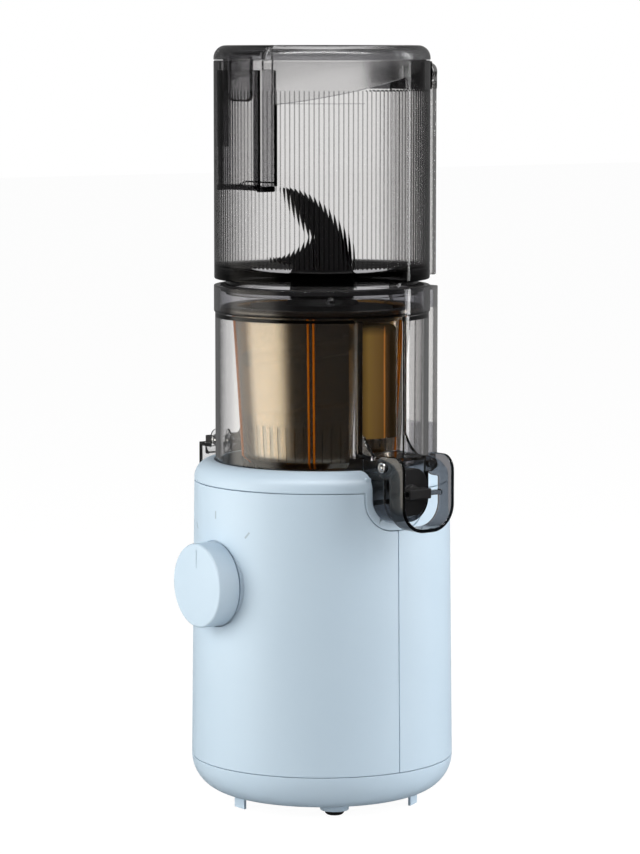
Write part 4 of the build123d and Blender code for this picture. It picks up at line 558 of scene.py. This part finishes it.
def upright_bar(path, inner, z0, z1, edge=0.5):
    """A wall that stands on a path in plan: at each stop of the path, a section of four rounded
    corners between the path and its inner line, from z0 to z1; both ends are closed."""
    e = edge / np.linalg.norm(path[0] - inner[0])
    share = np.array([(e, z0), (1 - e, z0), (1, z0 + edge), (1, z1 - edge), (1 - 0.3 * e, z1 - 0.3 * edge),
                      (1 - e, z1), (e, z1), (0.3 * e, z1 - 0.3 * edge), (0, z1 - edge), (0, z0 + edge)])
    flat = path[:, None] * share[None, :, :1] + inner[:, None] * (1 - share[None, :, :1])
    height = np.broadcast_to(share[None, :, 1:], (*flat.shape[:2], 1))
    return capped(np.concatenate([flat, height], axis=-1))


def arc_bar(r0, r1, z0, z1, first, last, edge):
    """A bar bent round the juicer's axis: an upright section carried along an arc in plan, where the
    path is (r1 cos t, r1 sin t) and its inner line (r0 cos t, r0 sin t)."""
    t = np.radians(np.linspace(first, last, 48))
    way = np.stack([np.cos(t), np.sin(t)], axis=1)
    return upright_bar(way * r1, way * r0, z0, z1, edge)


def slab(outline, z0, z1, edge=0.5):
    """A flat slab over an outline in plan: rings at z0 + e (1 - cos a) and drawn in by e (1 - sin a)
    towards the middle, closed at the middle of both faces."""
    middle = outline.mean(axis=0)
    size = np.abs(outline - middle).max()
    a = np.linspace(0, pi / 2, 4)
    inset = np.concatenate([[1], edge / size * (1 - np.sin(a)), edge / size * (1 - np.sin(a[::-1])), [1]])
    level = np.concatenate([[z0], z0 + edge * (1 - np.cos(a)), z1 - edge * (1 - np.cos(a[::-1])), [z1]])
    flat = middle + (outline - middle)[None] * (1 - inset)[:, None, None]
    height = np.broadcast_to(level[:, None, None], (*flat.shape[:2], 1))
    return as_shape(np.concatenate([flat, height], axis=-1))


def u_path(half, near, far, corner):
    """A path in plan from (-half, near) round the far side to (half, near), its two corners rounded."""
    corners = [(-half, near), (-half, far), (half, far), (half, near)]
    return rounded_outline(corners, [0, corner, corner, 0], 8)


def hung(shape):
    """The same shape stood up behind the wall: what was plan (x, y) and height z becomes (x, -z, y)."""
    points, faces = shape
    return points[:, [0, 2, 1]] * np.array([1, -1, 1]), faces


# ---- hopper: a fluted wall, a hollow column at the back, the hinge and the fill line -------------

def fluted_wall():
    """The turned wall with flutes cut in its inside: at an arc distance u from a flute's middle and a
    rise v over its round end, the radius grows by depth * max(0, 1 - (u*u + v*v) / w**2)."""
    steps, ramp, floor_at_wall, floor_at_mouth = 8, 1.0, 6.0, 4.0
    half = pi * hopper_in / flutes
    u = ((np.arange(flutes * steps) % steps) / steps * 2 - 1) * half
    outside = rounded_outline(
        [(neck_in, neck_foot), (neck_r, neck_foot), (neck_r, hopper_foot), (hopper_r, hopper_foot),
         (hopper_r, hopper_head), (hopper_in, hopper_head)], [0.5, 0.5, 0.6, 0.8, 0.7, 0.7], 3)
    plain_rows = (-8, -24, -48, -70)
    rise = np.concatenate([np.linspace(half, -half * 0.1, 9), plain_rows])
    foot = flute_foot + ramp * np.array([1.0, 0.5, 0])
    inside_z = np.concatenate([flute_head - half + rise, foot])
    inside = np.stack([np.full(len(inside_z), hopper_in), inside_z], axis=1)
    floor = rounded_outline(
        [(hopper_in, hopper_foot + floor_at_wall), (mouth_r, hopper_foot + floor_at_mouth),
         (mouth_r, hopper_foot), (neck_in, hopper_foot)], [1.2, 0.8, 0.4, 0.3], 3)
    points = turned(np.concatenate([outside, inside, floor]), round_angles(flutes * steps))
    over_head = np.maximum(0, inside_z - (flute_head - half))
    under_foot = np.maximum(0, (flute_foot + ramp - inside_z)) * half
    away = u[None, :] ** 2 + over_head[:, None] ** 2 + under_foot[:, None] ** 2
    cut = flute_depth * np.maximum(0, 1 - away / half ** 2)
    rows = slice(len(outside), len(outside) + len(inside))
    points[rows, :, :2] *= (1 + cut / hopper_in)[..., None]
    return as_shape(points, closed=True)


def hopper_column():
    """The hollow column: a wall round its three free sides with a lid on top, and on it the hinge's
    two knuckles, each a barrel on a block."""
    cover_thick, joint, knuckle_gap = 2.0, 0.02, 0.6
    top = hinge_z - knuckle_r - knuckle_gap
    outer = u_path(column_half, column_near, column_far, column_corner)
    inner = u_path(column_half - column_wall, column_near, column_far - column_wall, column_corner - 1.5)
    cover = rounded_outline(
        [(-column_half, column_near), (-column_half, column_far), (column_half, column_far),
         (column_half, column_near)], [0.3, column_corner, column_corner, 0.3], 8)
    shapes = [upright_bar(outer, inner, hopper_foot, top - cover_thick - joint),
              slab(cover, top - cover_thick, top)]
    near, far = column_near + 0.2, column_far - 0.9
    for s in (1, -1):
        x0, x1 = s * knuckle_x, s * column_half
        block = rounded_outline([(x0, near), (x0, far), (x1, far), (x1, near)], 0.5, 3)
        shapes.append(slab(block, hinge_z - 2 * knuckle_r, hinge_z))
    for x0, x1 in ((knuckle_x, column_half), (-column_half, -knuckle_x)):
        profile = rounded_outline([(x0, 0), (x0, knuckle_r), (x1, knuckle_r), (x1, 0)], [0, 0.5, 0.5, 0], 3)
        shapes.append(turned_about((0, hinge_y, hinge_z), (1, 0, 0), profile, 48))
    return joined(*shapes)


# The hinge's dark backing plate lies on the wall's outside, to both sides of the column.
hinge_plate = arc_bar(hopper_r + 0.2, hopper_r + 1.6, plate_foot, plate_head, plate_first, plate_last, 0.4)
line_half = 0.2
fill_line = arc_bar(hopper_r - 0.1, hopper_r + 0.1, fill_level - line_half, fill_level + line_half,
                    fill_first, fill_last, 0.05)
add_shape("hopper_wall", fluted_wall(), smoke, "hopper", sharp=6)
add_shape("hopper_column", hopper_column(), smoke_plain, "hopper")
add_shape("hinge_plate", hinge_plate, smoke_plate, "hopper")
add_shape("fill_line", fill_line, smoke_trim, "hopper")


# ---- feed chute: a clear inner wall, two grey sides, a dark rim, and the lid's tongue ------------

def chute_sides(z0, z1):
    """The chute's two flat sides: walls on straight paths along Y."""
    front, back = chute_front + 2.5, chute_back - 2
    walls = []
    for s in (1, -1):
        path = np.array([(s * chute_half, front), (s * chute_half, back)])
        walls.append(upright_bar(path, path - np.array([s * chute_wall, 0]), z0, z1, 0.4))
    return joined(*walls)


def chute_inner_wall():
    """The flat wall between the chute's sides, away from the hopper's wall."""
    path = np.array([(-chute_half, chute_back), (chute_half, chute_back)])
    return upright_bar(path, path - np.array([0, chute_wall]), chute_foot + rim_height, chute_head, 0.4)


def chute_rim():
    """The dark frame: a rim round the foot, a post at each front corner, a sleeve in the left one, and
    a sill that rises behind the rim."""
    front, post_depth, sleeve_thick, sill_thick, sill_depth = chute_front - 0.4, 1.8, 1.0, 0.8, 1.0
    outer = u_path(chute_half, front, chute_back, 1.6)
    inner = u_path(chute_half - rim_width, front, chute_back - rim_width, 0.6)
    shapes = [upright_bar(outer, inner, chute_foot, chute_foot + rim_height)]
    for s in (1, -1):
        post = np.array([(s * post_in, chute_front - 0.6), (s * post_out, chute_front - 0.2)])
        shapes.append(upright_bar(post, post + np.array([0, post_depth]), chute_foot + 1.0, chute_head, 0.4))
    sleeve = np.array([(0.4 - chute_half, chute_front - 0.2), (1.8 - chute_half, chute_back - 3.5)])
    shapes.append(upright_bar(sleeve, sleeve + np.array([sleeve_thick, 0]), sleeve_foot, chute_head, 0.3))
    sill = np.array([(-sill_end, sill_low), (sill_bend, sill_high), (sill_end, sill_high)])
    sill_foot = sill - np.array([0, sill_thick])
    shapes.append(hung(upright_bar(sill, sill_foot, -chute_back, sill_depth - chute_back, 0.2)))
    return joined(*shapes)


def lid_tongue():
    """The lid's tongue that hangs in the chute: a plate with two rounded lower corners."""
    half, head, foot, thick = tongue_half - 0.8, tongue_head + 0.5, tongue_foot + 0.8, 1.0
    corners = [(-half, head), (half, head), (half, foot), (-half, foot)]
    plate = rounded_outline(corners, [1, 1, 3.4, 3.4], 6)
    return hung(slab(plate, -tongue_y - thick / 2, -tongue_y + thick / 2, 0.3))


def tongue_rim():
    """The darker rim round the tongue's free edge."""
    corner, width, thick = 4.2, 1.0, 1.8
    outer = u_path(tongue_half, tongue_head, tongue_foot, corner)
    inner = u_path(tongue_half - width, tongue_head, tongue_foot + width, corner - width)
    return hung(upright_bar(outer, inner, -tongue_y - thick / 2, -tongue_y + thick / 2, 0.3))


add_shape("chute_sides", chute_sides(chute_foot + rim_height, chute_head), smoke_trim, "feed_chute")
add_shape("chute_inner_wall", chute_inner_wall(), smoke_plain, "feed_chute")
add_shape("chute_tops", chute_sides(chute_head + 0.1, chute_lip), smoke_plain, "feed_chute")
add_shape("chute_rim", chute_rim(), smoke_rim, "feed_chute")
add_shape("lid_tongue", lid_tongue(), smoke_trim, body="lid", slot="smoke")
add_shape("tongue_rim", tongue_rim(), smoke_rim, body="lid", slot="smoke")


# ---- rivets of the lever and of the cap ----------------------------------------------------------

def rivet_heads():
    """Domed heads with a sunk ring: profiles of (lift, r) turned about the hinge lines along Y."""
    profile = np.array([(-2.4, 0), (-2.4, 1.55), (0, 1.55), (0.02, 2.9), (0.5, 2.9), (0.8, 2.7), (0.9, 2.3),
                        (0.75, 2.0), (0.55, 1.75), (0.62, 1.5), (0.95, 1.15), (1.1, 0.6), (1.12, 0)])
    return joined(*[turned_about((sx * pivot_x, sy * (lever_half + 0.3), pivot_z), (0, sy, 0), profile, 40)
                    for sx in (1, -1) for sy in (1, -1)])


add_shape("rivet_heads", rivet_heads(), steel, "hinge_rivets", sharp=50)


# ---- strainer, auger and the plate before the bay ------------------------------------------------

def strainer_reach(z):
    """The strainer's outer radius: straight from floor to belly, and straight from belly to flange."""
    return np.interp(z, [strainer_floor, slot_foot, strainer_flange],
                     [strainer_floor_r, strainer_belly_r, strainer_top_r])


def strainer_ribs():
    """Five pairs of thin ribs up the strainer's outside: each is a section of (side, lift) carried up
    the taper, r = strainer_reach(z) + lift, at its own angle."""
    z = np.concatenate([[strainer_floor + 1.9], np.linspace(slot_foot, strainer_flange - 0.2, 12)])[:, None]
    side, lift = np.array([(-0.55, -0.3), (-0.55, 0.35), (-0.3, 0.55), (0.3, 0.55), (0.55, 0.35),
                           (0.55, -0.3)]).T
    r = strainer_reach(z) + lift
    ribs = []
    for pair in range(rib_pairs):
        for turn in rib_turns:
            t = radians(turn + 360 / rib_pairs * pair)
            ribs.append(capped(np.stack([r * cos(t) - side * sin(t), r * sin(t) + side * cos(t),
                                         np.broadcast_to(z, r.shape)], axis=-1)))
    return joined(*ribs)


def bay_panel():
    """The amber plate before the bay, bent round the axis: over its angle a and share v, z runs from
    the foot to head - (c - sqrt(c**2 - max(0, c - d)**2)), where d is the way to the nearer side."""
    a = np.linspace(-panel_half, panel_half, 41)
    corner, d = 5.0, np.radians(panel_half - np.abs(a)) * panel_r
    head = panel_head - corner + np.sqrt(corner ** 2 - np.maximum(0, corner - d) ** 2)
    v = np.linspace(0, 1, 14)
    up = panel_foot + v[None, :] * (head - panel_foot)[:, None]
    z = np.concatenate([up, up[:, ::-1]], axis=1)
    r = np.repeat([panel_r, panel_r - panel_thick], len(v))[None, :]
    t = np.radians(a)[:, None]
    return capped(np.stack([r * np.cos(t), r * np.sin(t), z], axis=-1))


def slotted_strainer():
    """A tapered shell turned about the axis, the wall's thickness less inside, with a flange and a
    floor. Cells of the grid over (height, angle) are left out for the slots and for the pulp port, and
    walls join outside and inside round each opening."""
    share = np.array([0, slot_share, 0.37, 0.69])
    period = 2 * pi / slots
    angles = ((np.arange(slots)[:, None] + share) * period).ravel() + period * (1 - slot_share) / 2
    plain_rows = (225.0, 245.0)
    level = np.array([strainer_floor, slot_foot, port_head, slot_head, *plain_rows, strainer_flange])
    outer_r = strainer_reach(level)
    outer = turned(np.stack([outer_r, level], axis=1), angles)
    inner = turned(np.stack([outer_r - strainer_wall, level], axis=1), angles)
    rows, columns = len(level) - 1, len(angles)
    opened = np.zeros((rows, columns), bool)
    opened[1:3, ::len(share)] = True
    port = np.abs((angles + period * 0.2 + pi) % (2 * pi) - pi) < radians(port_half)
    opened[0:2, port] = True
    this = np.arange(2 * (rows + 1) * columns).reshape(2, rows + 1, columns)
    following = np.roll(this, -1, axis=2)
    shells = np.stack([this[:, :-1], following[:, :-1], following[:, 1:], this[:, 1:]], axis=-1)
    upright = np.stack([this[0, :-1], this[0, 1:], this[1, 1:], this[1, :-1]], axis=-1)
    level_wall = np.stack([this[0], following[0], following[1], this[1]], axis=-1)
    over, under = np.pad(opened, ((0, 1), (0, 0))), np.pad(opened, ((1, 0), (0, 0)))
    faces = np.concatenate([shells[0][~opened], shells[1][~opened],
                            upright[opened != np.roll(opened, 1, axis=1)], level_wall[over != under]])
    wall = np.stack([outer, inner]).reshape(-1, 3), faces
    inside_r = strainer_top_r - strainer_wall
    z0, z1 = strainer_flange, strainer_head
    top = np.array([(strainer_top_r, z0), (flange_r - 0.5, z0), (flange_r - 0.1, z0 + 0.2),
                    (flange_r, z0 + 0.6), (flange_r, z1 - 0.6), (flange_r - 0.1, z1 - 0.2),
                    (flange_r - 0.5, z1), (inside_r + 0.5, z1), (inside_r + 0.1, z1 - 0.2),
                    (inside_r, z1 - 0.6), (inside_r, z0)])
    foot = rounded_outline(
        [(strainer_floor_r, strainer_floor), (strainer_foot_r, strainer_foot), (strainer_hole, strainer_foot),
         (strainer_hole, strainer_floor), (strainer_floor_r - strainer_wall, strainer_floor)],
        [0, 1.0, 0.4, 0.4, 0], 3)
    return joined(wall, as_shape(turned(top, angles)), as_shape(turned(foot, angles)))


def screw_body():
    """The auger: a tapered core with one helical flight, r = core + (reach - core) * p * p * (3 - 2 p),
    where p = clip((half - s) / flank, 0, 1) and s is the distance from the flight's middle in turns."""
    core_r, core_gain, reach_r, reach_gain, half, flank = 37.4, 0.4, 38.6, 6.2, 0.15, 0.07
    rim_r, hub_r, hub_top, bore_r, bore_top, neck_top = 32.0, 14.4, 192.0, 5.9, 213.0, 270.6
    t = round_angles(144)
    z = np.linspace(auger_foot, auger_head, 180)[:, None]
    share = (z - auger_foot) / (auger_head - auger_foot)
    core = core_r + core_gain * share
    reach = reach_r + reach_gain * share
    turns = (z - flight_start) / flight_pitch - t / (2 * pi)
    away = np.abs((turns + 0.5) % 1 - 0.5)
    peak = np.clip((half - away) / flank, 0, 1)
    r = core + (reach - core) * peak * peak * (3 - 2 * peak)
    flight = np.stack([r * np.cos(t), r * np.sin(t), np.broadcast_to(z, r.shape)], axis=-1)
    below = np.array([(0.1, bore_top), (bore_r, bore_top), (bore_r, hub_top), (hub_r, hub_top),
                      (hub_r, auger_foot), (rim_r, auger_foot)])
    above = np.array([(rim_r, auger_head), (20.0, auger_head + 1.5), (17.0, neck_top), (0.1, neck_top)])
    return as_shape(np.concatenate([turned(below, t), flight, turned(above, t)]))


add_shape("strainer_ribs", strainer_ribs(), amber_rib_painted_glow, "strainer")
add_shape("bay_panel", bay_panel(), amber_panel_painted_light, body="chamber", slot="amber")
add_shape("strainer_basket", slotted_strainer(), amber, "strainer", sharp=30)
add_shape("screw_body", screw_body(), auger_resin, "auger", sharp=40)


# ---- marks on the housing and the collar ---------------------------------------------------------

def dial_marks():
    """Three printed strokes round the dial: bars in (across, reach) about the dial's middle, laid on the
    housing, y = -sqrt(R(z)**2 - x**2), where R falls evenly from pan to shoulder."""
    across_mark = mark_half * np.array([-1, 0, 1, 1, 0, -1])
    sunk = mark_thick * np.array([0, 0, 0, 1, 1, 1])
    reach = np.linspace(mark_near, mark_far, 9)[:, None]
    strokes = []
    for turn in (radians(-40), 0.0, radians(40)):
        x = across_mark * cos(turn) + reach * sin(turn)
        z = dial_level - across_mark * sin(turn) + reach * cos(turn)
        radius = housing_r - housing_taper * (z - housing_foot) / housing_height + mark_proud
        strokes.append(capped(np.stack([x, sunk - np.sqrt(radius ** 2 - x ** 2), z], axis=-1)))
    return joined(*strokes)


def lock_stud():
    """A small domed stud on the chamber's collar: a profile of (lift, r) turned about a line outwards."""
    profile = np.array([(-1.2, 0), (-1.2, 2.4), (0.4, 2.4), (0.7, 2.2), (0.8, 1.7), (0.6, 1.5), (0.9, 1.2),
                        (1.15, 0.6), (1.2, 0)])
    a = radians(stud_angle)
    return turned_about((collar_r * cos(a), collar_r * sin(a), stud_level), (cos(a), sin(a), 0), profile, 32)


add_shape("dial_marks", dial_marks(), mark_grey, body="base", slot="housing")
add_shape("lock_stud", lock_stud(), smoke_flap, body="chamber", slot="smoke", sharp=50)


# ---- everything that keeps its CAD form ----------------------------------------------------------

for node, edge, segments in (
    ("front_shell", 0.3, 2), ("rear_shell", 0.3, 2), ("top_cover", 0.4, 2), ("bottom_pan", 0.3, 2),
    ("knob", 0.3, 2), ("pulp_lever", 0.5, 3), ("pulp_plug", 0.6, 3), ("juice_cap", 0.4, 2),
    ("juice_seal", 0.5, 2), ("juicing_chamber", 0.4, 2), ("lid", 0.4, 2), ("feed_flap", 0.4, 2),
    ("cutter_wing", 1.4, 3), ("rubber_feet", 0.5, 3), ("cap_strap", 0.3, 2), ("cord_gland", 0.5, 2),
    ("hopper_gasket", 0.3, 2),
):
    softened(node, edge, segments)


# ---- floor, light and camera: metres, and pixels of the picture where a name says so -------------

view_angle = radians(54.5)
toward = np.array([sin(view_angle), -cos(view_angle), 0])
across = np.array([cos(view_angle), sin(view_angle), 0])
front_glow, back_glow = 0.025, 0.14  # what glossy surfaces see of the room before and behind the juicer
room_light = 0.165
floor_half, floor_glow, floor_white = 8.0, 1.12, 0.86
lamp_distance, top_height = 1.3, 1.5
focal_px, picture_px, tilt_px, turn_px = 3340, 854, 373, 2
camera_distance, camera_height = 1.777, 0.3994


def after(tree, kind):
    """1 for light that was mirrored or scattered before, by the path's Glossy or Diffuse depth."""
    return shade(tree, "MINIMUM", put(tree, "LightPath").outputs[kind + " Depth"], 1.0)


def seen_mask(tree, spot):
    """1 for the camera's own rays, straight or through clear resin, and for glossy rays over the back
    of the room; 0 for light that a surface has already scattered or mirrored towards the front."""
    path = put(tree, "LightPath")
    back = put(tree, "VectorMath", operation="DOT_PRODUCT")
    fill(tree, back.inputs, (spot, tuple(-toward)))
    behind = put(tree, "MapRange", interpolation_type="SMOOTHSTEP", Value=back.outputs["Value"],
                 From_Min=0.15, From_Max=0.60)
    mirrored, scattered = after(tree, "Glossy"), after(tree, "Diffuse")
    clean = shade(tree, "SUBTRACT", 1.0, shade(tree, "MAXIMUM", mirrored, scattered))
    straight = shade(tree, "MAXIMUM", path.outputs["Is Camera Ray"], path.outputs["Is Transmission Ray"])
    glow = shade(tree, "MULTIPLY", behind.outputs[0], back_glow)
    glossy = shade(tree, "MULTIPLY", shade(tree, "SUBTRACT", mirrored, scattered), glow)
    return shade(tree, "MAXIMUM", shade(tree, "MULTIPLY", straight, clean), glossy)


def white_floor():
    """A wide pale floor that shows as white, yet keeps the soft shadow of the juicer."""
    mesh = bpy.data.meshes.new("floor")
    h = floor_half
    mesh.from_pydata([(-h, -h, 0), (h, -h, 0), (h, h, 0), (-h, h, 0)], [], [(0, 1, 2, 3)])
    in_scene("floor", mesh)
    material, tree, out, shader = start("pale_floor", Base_Color=(0.62, 0.62, 0.62, 1), Roughness=0.7,
                                        Specular_IOR_Level=0.1)
    seen = seen_mask(tree, put(tree, "TexCoord").outputs["Object"])
    strength = shade(tree, "MULTIPLY_ADD", seen, floor_glow - front_glow, front_glow)
    glow = put(tree, "Emission", Strength=strength)
    share = shade(tree, "MAXIMUM", shade(tree, "MULTIPLY", seen, floor_white), after(tree, "Glossy"))
    tree.links.new(shader_mix(tree, share, shader, glow), out.inputs["Surface"])
    mesh.materials.append(material)


def white_room():
    """A white world: full white where it is seen, and a plain soft light on the surfaces."""
    world = bpy.data.worlds.new("white_room")
    world.use_nodes = True
    world.cycles.sampling_method = "NONE"
    bpy.context.scene.world = world
    tree = world.node_tree
    seen = seen_mask(tree, put(tree, "TexCoord").outputs["Generated"])
    rest = shade(tree, "MULTIPLY_ADD", after(tree, "Glossy"), front_glow - room_light, room_light)
    dim = shade(tree, "MULTIPLY", shade(tree, "SUBTRACT", 1.0, seen), rest)
    back = tree.nodes["Background"].inputs
    fill(tree, (back["Color"], back["Strength"]), ((1, 1, 1, 1), shade(tree, "ADD", seen, dim)))


def round_the_juicer(angle, distance, height):
    """A place at an angle to the camera's direction, positive to the picture's right."""
    a = radians(angle)
    return Vector(distance * (cos(a) * toward + sin(a) * across) + np.array([0, 0, height]))


def softbox(name, angle, distance, height, aim, size, power, colour=(1, 1, 1), mirrored=True,
            lighting=True, mirrors_only=False):
    """A rectangular lamp that faces the juicer's axis at the height aim and fades towards its edges. It
    may be kept out of mirrors, be a mere highlight that lights no dull surface, or show only in light
    that was mirrored before, so that a mirror behind clear resin shows it too."""
    lamp = bpy.data.lights.new(name, "AREA")
    lamp.shape = "RECTANGLE"
    lamp.size, lamp.size_y = size
    lamp.energy = power
    lamp.color = colour
    lamp.use_nodes = True
    tree = lamp.node_tree
    spot = put(tree, "NewGeometry").outputs["Parametric"]
    centred = shade(tree, "SUBTRACT", spot, (0.5, 0.5, 0), kind="VectorMath")
    sides = split(tree, shade(tree, "ABSOLUTE", centred, kind="VectorMath"))
    fades = [put(tree, "MapRange", interpolation_type="SMOOTHSTEP", Value=sides[side], From_Min=0.5,
                 From_Max=0.18).outputs[0] for side in ("X", "Y")]
    strength = shade(tree, "MULTIPLY", *fades)
    if mirrors_only:
        strength = shade(tree, "MULTIPLY", strength, after(tree, "Glossy"))
    tree.links.new(strength, tree.nodes["Emission"].inputs["Strength"])
    box = in_scene(name, lamp)
    box.visible_camera = False
    box.visible_transmission = mirrors_only
    box.visible_glossy = mirrored
    box.visible_diffuse = lighting
    box.location = round_the_juicer(angle, distance, height)
    box.rotation_euler = (Vector((0, 0, aim)) - box.location).to_track_quat("-Z", "Y").to_euler()


white_floor()
white_room()
softbox("left_softbox", angle=-66, distance=lamp_distance, height=0.5, aim=0.22, size=(1.8, 1.8), power=50,
        colour=(1, 0.965, 0.91), mirrored=False)
softbox("right_softbox", angle=78, distance=lamp_distance, height=0.5, aim=0.22, size=(1.6, 1.7), power=50,
        colour=(1, 0.975, 0.94), mirrored=False)
softbox("right_strip", angle=104, distance=lamp_distance, height=0.5, aim=0.25, size=(0.16, 1.5), power=8,
        lighting=False, mirrors_only=True)
softbox("top_softbox", angle=0, distance=0.2, height=top_height, aim=0.38, size=(0.8, 0.8), power=5.5)
softbox("lid_highlight", angle=0, distance=0.9, height=top_height, aim=0.4, size=(3.6, 0.5), power=80,
        lighting=False)
softbox("left_highlight", angle=-78, distance=0.45, height=0.10, aim=0.12, size=(0.70, 0.42), power=2.3,
        colour=(1, 0.95, 0.85), lighting=False, mirrors_only=True)

camera_data = bpy.data.cameras.new("camera")
camera_data.sensor_width = 36
camera_data.lens = focal_px / picture_px * camera_data.sensor_width
camera_data.clip_end = 50
camera = in_scene("camera", camera_data)
camera.location = round_the_juicer(0, camera_distance, camera_height)
camera.rotation_euler = (pi / 2 - atan(tilt_px / focal_px), 0, view_angle + turn_px / focal_px)
bpy.context.scene.camera = camera
bpy.context.scene.view_settings.view_transform = "Standard"
